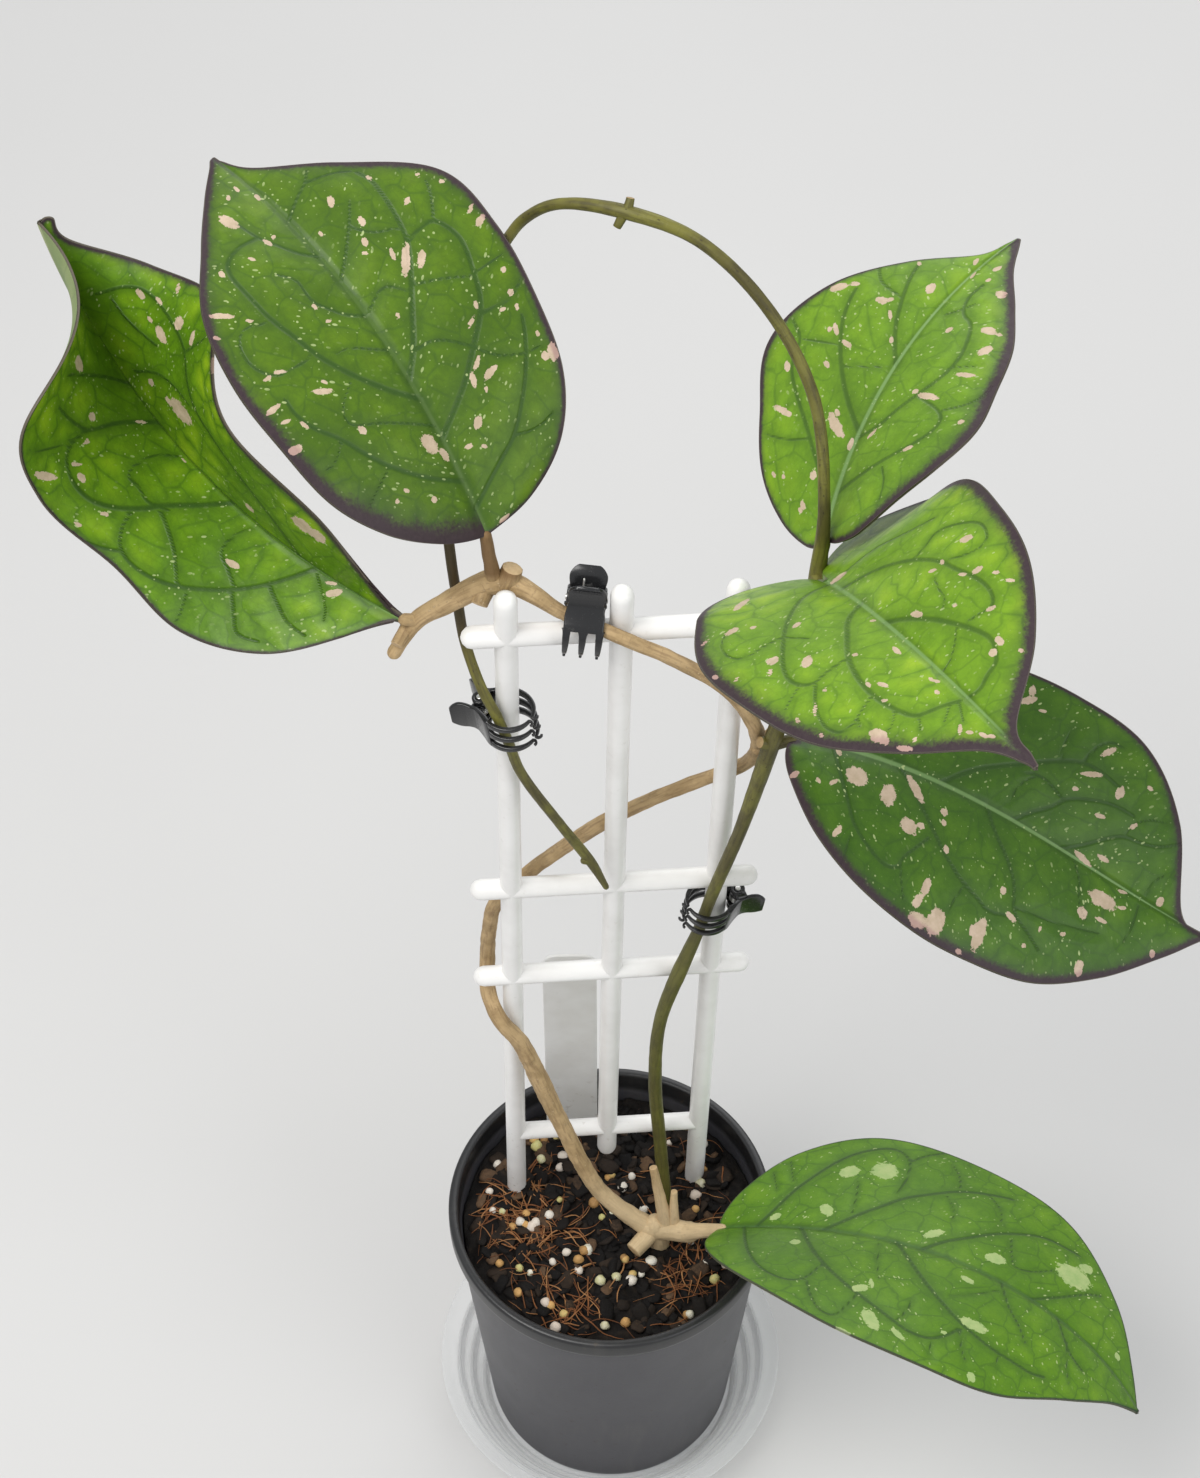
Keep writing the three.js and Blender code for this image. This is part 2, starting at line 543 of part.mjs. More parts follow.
function jawSolid(knuckles) {
  const { band, gripHigh, gripDeep, split, hinge, waist, width, tines, tineWidth, corner } = clip;
  const half = band / 2;
  const arc = [];
  const arcSteps = 7;
  for (let i = 0; i <= arcSteps; i += 1) {
    const angle = THREE.MathUtils.lerp(-Math.PI / 2, radians(clip.shoulder), i / arcSteps);
    const y = (gripDeep + half) * Math.cos(angle);
    arc.push([Math.max(y, split + 0.1), (gripHigh + half) * Math.sin(angle)]);
  }
  const shoulder = arc[arc.length - 1];
  const plate = [shoulder, [waist, hinge - 0.6], [waist, hinge + 1], [clip.paddleOut, clip.paddleTop]];
  const pieces = [];
  for (let i = 0; i < tines; i += 1) {
    const x = (i - (tines - 1) / 2) * ((width - tineWidth) / (tines - 1));
    pieces.push(slab(bandShape(arc, half), x, tineWidth));
  }
  pieces.push(slab(bandShape(plate, half), 0, width));
  for (const x of knuckles.spots) {
    const lug = new THREE.Shape();
    lug.moveTo(0, hinge - clip.knuckle);
    lug.lineTo(waist, hinge - clip.knuckle);
    lug.lineTo(waist, hinge + clip.knuckle * 0.6);
    lug.absarc(0, hinge, clip.knuckle, radians(50), radians(270));
    pieces.push(slab(lug, x, knuckles.width));
  }
  const boreRadius = clip.pin + clearance;
  const bore = rodBetween([-width, 0, hinge], [width, 0, hinge], boreRadius, boreRadius, 12);
  const rounded = new THREE.Shape();
  const side = width / 2;
  const top = clip.paddleTop + band / 4;
  rounded.moveTo(-side, -gripHigh - 3);
  rounded.lineTo(side, -gripHigh - 3);
  rounded.lineTo(side, hinge - 3);
  rounded.lineTo(clip.waistWidth / 2, hinge + 0.6);
  rounded.absarc(side - corner, top - corner, corner, 0, Math.PI / 2);
  rounded.absarc(corner - side, top - corner, corner, Math.PI / 2, Math.PI);
  rounded.lineTo(-clip.waistWidth / 2, hinge + 0.6);
  rounded.lineTo(-side, hinge - 3);
  const reach = 40;
  const cutter = extruded(rounded, reach, 4).translate(0, 0, -reach / 2).rotateX(Math.PI / 2);
  return join(pieces).subtract(toSolid(bore)).intersect(toSolid(cutter));
}

function springProfile() {
  const { pin, spring, springLength } = clip;
  const inner = pin + clearance;
  const coils = 3;
  const pitch = springLength / coils;
  const profile = [[inner, -springLength / 2]];
  for (let i = 0; i < coils; i += 1) {
    const foot = -springLength / 2 + i * pitch;
    profile.push([spring - 0.25, foot], [spring, foot + pitch * 0.3], [spring, foot + pitch * 0.7]);
  }
  profile.push([spring - 0.25, springLength / 2], [inner, springLength / 2], [inner, -springLength / 2]);
  return profile;
}

function clipPieces(name, matrix) {
  const { hinge, pin, pinLength } = clip;
  const inner = fromSolid(jawSolid(clip.movingKnuckles));
  const outer = fromSolid(jawSolid(clip.fixedKnuckles));
  const flip = new THREE.Matrix4().makeRotationZ(Math.PI);
  const coil = turned(springProfile(), 10).rotateY(Math.PI / 2).translate(0, 0, hinge);
  const shaft = new THREE.CylinderGeometry(pin, pin, pinLength, 12);
  shaft.rotateZ(Math.PI / 2).translate(0, 0, hinge);
  const made = [
    piece(`${name}_fixed_jaw`, outer, colours.clipBlack, 0.3),
    piece(`${name}_moving_jaw`, inner.clone().applyMatrix4(flip), colours.clipBlack, 0.3),
    piece(`${name}_pin`, fromSolid(toSolid(shaft)), colours.steel, 0.3, { metalness: 1 }),
    piece(`${name}_spring`, fromSolid(toSolid(coil)), colours.steel, 0.3, { metalness: 1 }),
  ];
  const group = new THREE.Group();
  group.add(...made);
  group.applyMatrix4(matrix);
  return group;
}

function clipMatrix(place) {
  const up = new THREE.Vector3(...place.paddles).normalize();
  const pin = new THREE.Vector3(...place.pin);
  pin.addScaledVector(up, -pin.dot(up)).normalize();
  const deep = new THREE.Vector3().crossVectors(up, pin);
  return new THREE.Matrix4().makeBasis(pin, deep, up).setPosition(...place.centre);
}

// Holes in the mix, a little wider than what stands in them
function holeAround([from, to, radius]) {
  return rodBetween(from, to, radius + clearance, radius + clearance, 12);
}

function mixHoles() {
  const toWorld = trellisMatrix();
  const holes = [-trellis.spacing, trellis.spacing].map((x) => {
    const from = new THREE.Vector3(x, 0, trellis.footDepth - 1).applyMatrix4(toWorld);
    const to = new THREE.Vector3(x, 0, mix.level + 8).applyMatrix4(toWorld);
    return holeAround([from.toArray(), to.toArray(), trellis.rod + 0.15]);
  });
  holes.push(holeAround([[12.5, -6.5, 73], [12.5, -6.5, 96], 3.6]));
  holes.push(holeAround([[15.6, 3.2, 73], [15.3, 3, 95], 2.25]));
  const slot = new THREE.BoxGeometry(label.width + 2 * clearance, label.thickness + 2.2 * clearance, 60);
  slot.translate(0, -label.thickness / 2, 29.5).rotateX(-label.lean).translate(...label.foot);
  holes.push(slot);
  return holes;
}

const plant = new THREE.Group();
plant.add(saucerPiece(), potPiece(), mixPiece(mixHoles()), trellisPiece(), labelPiece());
plant.add(stemPiece('stem_old', oldStemRoute, oldStemStubs, colours.oldStem, 8));
plant.add(stemPiece('stem_green', greenStemRoute, greenStemStubs, colours.greenStem, 8));
for (const [name, leaf] of Object.entries(leaves)) {
  plant.add(placedLeaf(name, leaf, name === 'leaf_low_right' ? colours.leafDark : colours.leafTop));
}
for (const [name, place] of Object.entries(clipPlaces)) {
  plant.add(clipPieces(name, clipMatrix(place)));
}

export default plant;
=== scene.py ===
import math
import random

import bmesh
import bpy
import numpy as np
from mathutils import Euler, Matrix, Vector, noise


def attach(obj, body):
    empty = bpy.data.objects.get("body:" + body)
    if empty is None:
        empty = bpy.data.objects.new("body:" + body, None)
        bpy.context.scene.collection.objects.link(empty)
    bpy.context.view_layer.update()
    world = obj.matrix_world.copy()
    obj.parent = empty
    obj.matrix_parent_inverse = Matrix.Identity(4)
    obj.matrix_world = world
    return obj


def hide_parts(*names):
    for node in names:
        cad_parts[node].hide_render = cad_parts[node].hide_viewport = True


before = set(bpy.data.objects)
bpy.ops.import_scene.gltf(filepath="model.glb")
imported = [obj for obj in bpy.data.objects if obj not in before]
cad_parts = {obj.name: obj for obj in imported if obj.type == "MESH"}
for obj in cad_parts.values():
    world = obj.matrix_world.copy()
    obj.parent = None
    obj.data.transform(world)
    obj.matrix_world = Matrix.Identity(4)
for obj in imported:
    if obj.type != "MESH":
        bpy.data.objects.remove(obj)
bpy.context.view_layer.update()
body = "plant"
print("frame loaded")

# The view of the photo: a long lens looking down at the plant
cameraLook = {"place": (-0.0023, -0.4732, 0.8908), "tilt": 38.87, "roll": -0.22, "lens": 80}
cameraData = bpy.data.cameras.new("photoCamera")
cameraData.lens = cameraLook["lens"]
cameraData.sensor_width = 36
cameraData.clip_start = 0.05
camera = bpy.data.objects.new("photoCamera", cameraData)
camera.rotation_euler = (
    Matrix.Rotation(math.radians(cameraLook["tilt"]), 3, "X")
    @ Matrix.Rotation(math.radians(cameraLook["roll"]), 3, "Z")
).to_euler()
camera.location = cameraLook["place"]
bpy.context.scene.collection.objects.link(camera)
bpy.context.scene.camera = camera
bpy.context.scene.view_settings.view_transform = "Standard"


# Shader maths is written as plain expressions on sockets
class Link:
    def __init__(self, paint, socket):
        self.paint = paint
        self.socket = socket

    def math(self, operation, other=None, third=None, swap=False):
        values = [v for v in ((other, self) if swap else (self, other)) if v is not None]
        if third is not None:
            values.append(third)
        return self.paint.node("Math", {"operation": operation}, dict(enumerate(values)))

    def __add__(self, other): return self.math("ADD", other)
    def __radd__(self, other): return self.math("ADD", other)
    def __sub__(self, other): return self.math("SUBTRACT", other)
    def __rsub__(self, other): return self.math("SUBTRACT", other, swap=True)
    def __mul__(self, other): return self.math("MULTIPLY", other)
    def __rmul__(self, other): return self.math("MULTIPLY", other)
    def __truediv__(self, other): return self.math("DIVIDE", other)
    def __rtruediv__(self, other): return self.math("DIVIDE", other, swap=True)
    def __neg__(self): return self.math("MULTIPLY", -1.0)
    def __pow__(self, other): return self.math("POWER", other)
    def __abs__(self): return self.math("ABSOLUTE")
    def least(self, other): return self.math("MINIMUM", other)
    def most(self, other): return self.math("MAXIMUM", other)
    def clamp(self): return self.paint.node("Clamp", {}, {"Value": self})

    # 0 below low and 1 above high, with a soft step between; low may be above high
    def step(self, low, high):
        return self.paint.node("MapRange", {"interpolation_type": "SMOOTHSTEP"},
                               {"Value": self, "From Min": low, "From Max": high})

    def split(self):
        return [self.paint.node("SeparateXYZ", {}, {0: self}, out) for out in range(3)]


class Paint:
    def __init__(self, name, **fixed):
        self.material = bpy.data.materials.new(name)
        self.material.use_nodes = True
        self.tree = self.material.node_tree
        self.shader = self.tree.nodes["Principled BSDF"]
        for key, value in fixed.items():
            self.shader.inputs[key.replace("_", " ")].default_value = value

    # Any node: its type, its settings, which are set first, and its sockets' values or links
    def node(self, kind, settings=None, inputs=None, out=0):
        made = self.tree.nodes.new("ShaderNode" + kind)
        for key, value in (settings or {}).items():
            if key == "stops":
                ramp = made.color_ramp
                while len(ramp.elements) < len(value):
                    ramp.elements.new(0.5)
                for element, (place, colour) in zip(ramp.elements, value):
                    element.position = place
                    element.color = (*colour, 1)
            else:
                setattr(made, key, value)
        for key, value in (inputs or {}).items():
            if isinstance(value, Link):
                self.tree.links.new(value.socket, made.inputs[key])
            else:
                made.inputs[key].default_value = value
        return Link(self, made.outputs[out])

    def attribute(self, name, out=1):
        return self.node("Attribute", {"attribute_name": name}, {}, out)

    def number(self, name):
        return self.attribute(name, 2)

    def place(self):
        return self.node("TexCoord", {}, {}, "Object")

    def vector(self, x, y, z=0.0):
        return self.node("CombineXYZ", {}, {0: x, 1: y, 2: z})

    def stretched(self, vector, x, y, z):
        return self.node("VectorMath", {"operation": "MULTIPLY"}, {0: vector, 1: (x, y, z)})

    def moved(self, vector, by):
        return self.node("VectorMath", {"operation": "ADD"}, {0: vector, 1: by})

    def grain(self, vector, scale, detail=2.0, rough=0.5):
        return self.node("TexNoise", {}, {"Vector": vector, "Scale": scale, "Detail": detail,
                                          "Roughness": rough})

    def cells(self, vector, scale, feature="F1", out="Distance", random=1.0, flat=False):
        return self.node("TexVoronoi", {"feature": feature, "voronoi_dimensions": "2D" if flat else "3D"},
                         {"Vector": vector, "Scale": scale, "Randomness": random}, out)

    def mix(self, share, first, second):
        as4 = [(*c, 1) if isinstance(c, tuple) else c for c in (first, second)]
        return self.node("Mix", {"data_type": "RGBA"}, {0: share, 6: as4[0], 7: as4[1]}, 2)

    def ramp(self, value, stops):
        return self.node("ValToRGB", {"stops": stops}, {0: value})

    def set(self, key, link):
        self.tree.links.new(link.socket, self.shader.inputs[key])

    def bump(self, height, strength, distance):
        values = {"Height": height, "Strength": strength, "Distance": distance}
        self.set("Normal", self.node("Bump", {}, values))


# Mesh helpers. Shapes are worked out in millimetres, like the part's source, and stored in metres.
def addMesh(name, points, faces, materials, replaces=(), attributes=None, faceMaterial=None, on=body):
    mesh = bpy.data.meshes.new(name)
    mesh.from_pydata((np.asarray(points, float) / 1000).tolist(), [], [list(f) for f in faces])
    mesh.validate()
    mesh.update()
    for material in materials:
        mesh.materials.append(material)
    if faceMaterial is not None:
        mesh.polygons.foreach_set("material_index", np.asarray(faceMaterial, np.int32))
    mesh.polygons.foreach_set("use_smooth", np.ones(len(mesh.polygons), bool))
    for key, values in (attributes or {}).items():
        values = np.asarray(values, np.float32)
        kind = "FLOAT" if values.ndim == 1 else "FLOAT_VECTOR"
        made = mesh.attributes.new(key, kind, "POINT")
        made.data.foreach_set("value" if values.ndim == 1 else "vector", values.ravel())
    made = bpy.data.objects.new(name, mesh)
    bpy.context.scene.collection.objects.link(made)
    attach(made, on)
    if replaces:
        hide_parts(*replaces)
    return made


def joinShapes(shapes):
    points, faces, attributes, start = [], [], {}, 0
    for shape in shapes:
        points.append(np.asarray(shape[0], float))
        faces += [[i + start for i in f] for f in shape[1]]
        for key, values in shape[2].items():
            attributes.setdefault(key, []).append(values)
        start += len(shape[0])
    return np.vstack(points), faces, {k: np.concatenate(v) for k, v in attributes.items()}


# The same curve as in the part's source: a centripetal Catmull-Rom through the route
def smoothRoute(route, step):
    route = np.asarray(route, float)
    points = route[:, :3]
    ends = [2 * points[0] - points[1], *points, 2 * points[-1] - points[-2]]
    dense, radii = [], []
    perSpan = 24
    for i in range(len(points) - 1):
        p0, p1, p2, p3 = ends[i:i + 4]
        d0, d1, d2 = (max(np.linalg.norm(b - a) ** 0.5, 1e-4) for a, b in ((p0, p1), (p1, p2), (p2, p3)))
        t1 = ((p1 - p0) / d0 - (p2 - p0) / (d0 + d1) + (p2 - p1) / d1) * d1
        t2 = ((p2 - p1) / d1 - (p3 - p1) / (d1 + d2) + (p3 - p2) / d2) * d1
        for k in range(perSpan + (i == len(points) - 2)):
            w = k / perSpan
            dense.append(p1 + t1 * w + (3 * (p2 - p1) - 2 * t1 - t2) * w * w
                         + (2 * (p1 - p2) + t1 + t2) * w ** 3)
            radii.append(route[i][3] + (route[i + 1][3] - route[i][3]) * w)
    dense, radii = np.array(dense), np.array(radii)
    length = np.concatenate([[0], np.cumsum(np.linalg.norm(np.diff(dense, axis=0), axis=1))])
    wanted = np.linspace(0, length[-1], max(int(round(length[-1] / step)), 3) + 1)
    line = np.stack([np.interp(wanted, length, dense[:, k]) for k in range(3)], 1)
    radius = np.interp(wanted, length, radii)
    soft = np.convolve(np.pad(radius, 4, "edge"), np.ones(9) / 9, "valid")
    return line, soft, wanted


# A tube with rounded ends about a line. endCut 1 leaves a flat cut face with a small bevel.
def tubeShape(line, radius, along, sides, seed=0, rough=0.0, startCut=0.0, endCut=0.0):
    line = np.asarray(line, float)
    direction = np.gradient(line, axis=0)
    direction /= np.linalg.norm(direction, axis=1)[:, None]
    normal = np.cross(direction[0], [0.3, 0.9, 0.2])
    normal /= np.linalg.norm(normal)
    rings, places, cuts = [], [], []

    def ring(centre, side, over, size, where, cut):
        angle = np.arange(sides) * 2 * math.pi / sides
        shape = np.ones(sides)
        if rough:
            for k, a in enumerate(angle):
                spot = Vector((math.cos(a) * 1.3 + seed, math.sin(a) * 1.3, where * 0.35))
                shape[k] += rough * noise.noise(spot)
        around = np.outer(np.cos(angle), side) + np.outer(np.sin(angle), over)
        rings.append(centre + around * (shape * size)[:, None])
        level = np.full(sides, where + seed * 31.0)
        places.append(np.stack([np.cos(angle) * size, np.sin(angle) * size, level], 1))
        cuts.append(np.full(sides, cut))

    # how far each closing ring lies past the end, and its radius
    def endRings(size, cut):
        if cut:
            return [(size * math.sin(math.radians(turn)) * 0.12, size * share)
                    for turn, share in ((40, 0.93), (75, 0.55))]
        turns = [math.radians(turn) for turn in (30, 60, 85)]
        return [(size * math.sin(turn), size * math.cos(turn)) for turn in turns]

    for i, centre in enumerate(line):
        normal = normal - direction[i] * normal.dot(direction[i])
        normal /= np.linalg.norm(normal)
        over = np.cross(direction[i], normal)
        if i == 0:
            for reach, size in reversed(endRings(radius[0], startCut)):
                ring(centre - direction[0] * reach, normal, over, max(size, 0.04), along[0], startCut)
        ring(centre, normal, over, radius[i], along[i], 0.0)
        if i == len(line) - 1:
            for reach, size in endRings(radius[i], endCut):
                ring(centre + direction[i] * reach, normal, over, max(size, 0.04), along[i], endCut)
    count = len(rings)
    points = np.vstack(rings)
    faces = []
    for r in range(count - 1):
        for k in range(sides):
            a, b = r * sides + k, r * sides + (k + 1) % sides
            faces.append((a, b, b + sides, a + sides))
    faces.append(tuple(reversed(range(sides))))
    faces.append(tuple(range((count - 1) * sides, count * sides)))
    return points, faces, {"stemPlace": np.vstack(places), "cutFace": np.concatenate(cuts)}


def lathe(profile, sides, closed=True):
    profile = np.asarray(profile, float)
    points, faces = [], []
    for k in range(sides):
        a = 2 * math.pi * k / sides
        points.append(np.stack([profile[:, 0] * math.cos(a), profile[:, 0] * math.sin(a), profile[:, 1]], 1))
    n = len(profile)
    for k in range(sides):
        for i in range(n if closed else n - 1):
            j = (i + 1) % n
            faces.append((k * n + i, ((k + 1) % sides) * n + i, ((k + 1) % sides) * n + j, k * n + j))
    return np.vstack(points), faces


# Rounds the corners of a closed profile of [x, y, radius] corners
def roundedProfile(corners, steps=4):
    made = []
    n = len(corners)
    for i in range(n):
        here = np.array(corners[i][:2], float)
        before, after = (np.array(corners[j % n][:2], float) for j in (i - 1, i + 1))
        radius = corners[i][2]
        a, b = before - here, after - here
        la, lb = np.linalg.norm(a), np.linalg.norm(b)
        reach = min(radius, 0.45 * la, 0.45 * lb)
        if reach < 1e-3:
            made.append(here)
            continue
        start, end = here + a / la * reach, here + b / lb * reach
        for k in range(steps + 1):
            w = k / steps
            made.append((1 - w) ** 2 * start + 2 * w * (1 - w) * here + w * w * end)
    return made


# Leaves: the same formula as in the part's source, on a finer grid
leafShapes = {
    "leaf_top_left": {
        "base": (-26.5, -2.5, 376), "azimuth": 126, "elevation": 54, "roll": 4, "length": 104,
        "droop": (40, 19), "sideBend": 7, "twist": 2, "lobe": 0, "sweep": 0.05,
        "left": ((10, 10, -2), 12, (10.5, 21.5, 30, 33.5, 34.5, 30.5, 19.5, 9.5, 2.5)),
        "right": ((15, 9, 3), 9, (12.5, 23.5, 30.5, 33.5, 35, 33, 18, 4, 0.5)),
    },
    "leaf_far_left": {
        "base": (-45, -4, 350.5), "azimuth": 147, "elevation": 3, "roll": -9, "length": 125,
        "droop": (-10, -60), "sideBend": -24, "twist": 51, "lobe": -0.05, "sweep": 0.25,
        "left": ((-8, 53, -30), 6, (10.5, 23, 30.5, 31.5, 40, 44.5, 29, 11.5, 1)),
        "right": ((80, 60, 40), -4, (9, 25.5, 34, 37.5, 41, 37.5, 20, 4.5, 3)),
    },
    "leaf_top_right": {
        "base": (46, -3, 375), "azimuth": 76, "elevation": 23, "roll": -48, "length": 87,
        "droop": (36, 2), "sideBend": -13, "twist": 19, "lobe": 0.05, "sweep": -0.05,
        "left": ((6, 15, 12), 11, (7, 15.5, 23, 28, 33, 27, 15, 3.5, 1)),
        "right": ((8, 7, -10), 16, (10.5, 18, 25.5, 29.5, 27.5, 23.5, 15.5, 7, 2.5)),
    },
    "leaf_front_right": {
        "base": (45.4, -16, 375.1), "azimuth": -77, "elevation": 41, "roll": 21, "length": 96.2,
        "droop": (37, 1), "sideBend": 5, "twist": 7, "lobe": 0.4, "sweep": -0.05,
        "left": ((14, 5, 12), 12, (13.5, 22, 29, 34, 32.5, 28, 17, 3, 1)),
        "right": ((20, 2, -4), 10, (13, 22.5, 29, 34.5, 33, 28, 17, 5, 1)),
    },
    "leaf_low_right": {
        "base": (41.9, -7.7, 312.8), "azimuth": -9, "elevation": -3, "roll": -10, "length": 111,
        "droop": (83, -60), "sideBend": -2, "twist": 36, "lobe": 0.05, "sweep": 0.05,
        "left": ((7, 28, 0), 1, (13, 24, 31.5, 34, 34, 31, 19.5, 2, 0.5)),
        "right": ((0, 12, -5), 20, (11.5, 24.5, 33, 36.5, 35.5, 31.5, 21.5, 9.5, 1)),
    },
    "leaf_base_right": {
        "base": (31, -12.5, 104.5), "azimuth": -12, "elevation": 25, "roll": -31, "length": 130,
        "droop": (37, 38), "sideBend": 6, "twist": 7, "lobe": 0.05, "sweep": 0.2,
        "left": ((22, 8, -8), 5, (14.5, 30.5, 41, 43.5, 41.5, 36.5, 23, 8, 0.5)),
        "right": ((17, 5, -9), 11, (17, 30, 39.5, 44.5, 44.5, 39, 23.5, 8.5, 1.5)),
    },
}
leafGrid = {"rows": 216, "columns": 64, "middle": 1.1, "edge": 0.6}


def halfWidth(widths, steps):
    heights = np.array([0.9, *widths, 0.45])
    place = np.clip(steps * 10, 0, 10 - 1e-9)
    i = place.astype(int)
    w = place - i
    p0, p1 = heights[np.maximum(i - 1, 0)], heights[i]
    p2, p3 = heights[np.minimum(i + 1, 10)], heights[np.minimum(i + 2, 10)]
    v0, v1 = (p2 - p0) / 2, (p3 - p1) / 2
    made = (2 * p1 - 2 * p2 + v0 + v1) * w ** 3 + (-3 * p1 + 3 * p2 - 2 * v0 - v1) * w ** 2 + v0 * w + p1
    return np.maximum(made, 0.4)


def leafSurface(leaf):
    rows, columns = leafGrid["rows"], leafGrid["columns"]
    t = np.linspace(0, 1, rows + 1)[:, None]
    flat = np.linspace(-1, 1, 2 * columns + 1)
    s = (np.sign(flat) * (1 - (1 - np.abs(flat)) ** 1.15))[None, :]
    share = np.abs(s)
    left = s >= 0
    width = np.where(left, halfWidth(leaf["left"][2], t), halfWidth(leaf["right"][2], t))
    width = width * np.clip((1 - t) / 0.025, 0.35, 1)
    part = ((1 - np.cos(np.pi * t)) / 2 - 2.4 * leaf["lobe"] * (1 - t) ** 3 * np.sqrt(t) * share
            + 0.3 * leaf["sweep"] * np.sin(np.pi * t) * share)
    held = np.clip(part, 0, 1)

    def direction(u):
        pitch = -np.radians(leaf["droop"][0] * u + leaf["droop"][1] * u * u)
        yaw = np.radians(leaf["sideBend"] * u)
        return np.stack([np.cos(pitch) * np.cos(yaw), np.cos(pitch) * np.sin(yaw), np.sin(pitch)], -1)

    fine = 600
    steps = direction((np.arange(fine) + 0.5) / fine) * leaf["length"] / fine
    spine = np.vstack([np.zeros(3), np.cumsum(steps, 0)])
    places = np.linspace(0, 1, fine + 1)
    middle = np.stack([np.interp(held, places, spine[:, k]) for k in range(3)], -1)
    along = direction(held)
    yaw = np.radians(leaf["sideBend"] * held)
    level = np.stack([-np.sin(yaw), np.cos(yaw), np.zeros_like(yaw)], -1)
    rise = np.cross(along, level)
    twist = np.radians(leaf["twist"] * held)[..., None]
    outward = level * np.cos(twist) + rise * np.sin(twist)
    upward = rise * np.cos(twist) - level * np.sin(twist)

    def fold(side):
        (start, end, bulge), curl, _ = leaf[side]
        f = np.radians(start + (end - start) * held + bulge * 4 * held * (1 - held))
        c = math.radians(curl)
        return (np.sin(f) - np.sin(f - c * share)) / c, (np.cos(f - c * share) - np.cos(f)) / c

    leftOut, leftUp = fold("left")
    rightOut, rightUp = fold("right")
    out, up = np.where(left, leftOut, rightOut), np.where(left, leftUp, rightUp)
    points = (middle + along * ((part - held) * leaf["length"])[..., None]
              + outward * (np.sign(s) * width * out)[..., None] + upward * (width * up)[..., None])
    turn = (Matrix.Rotation(math.radians(leaf["azimuth"]), 3, "Z")
            @ Matrix.Rotation(math.radians(-leaf["elevation"]), 3, "Y")
            @ Matrix.Rotation(math.radians(leaf["roll"]), 3, "X"))
    points = points @ np.array(turn).T + np.array(leaf["base"])
    return points, part * leaf["length"], s * width, t, s



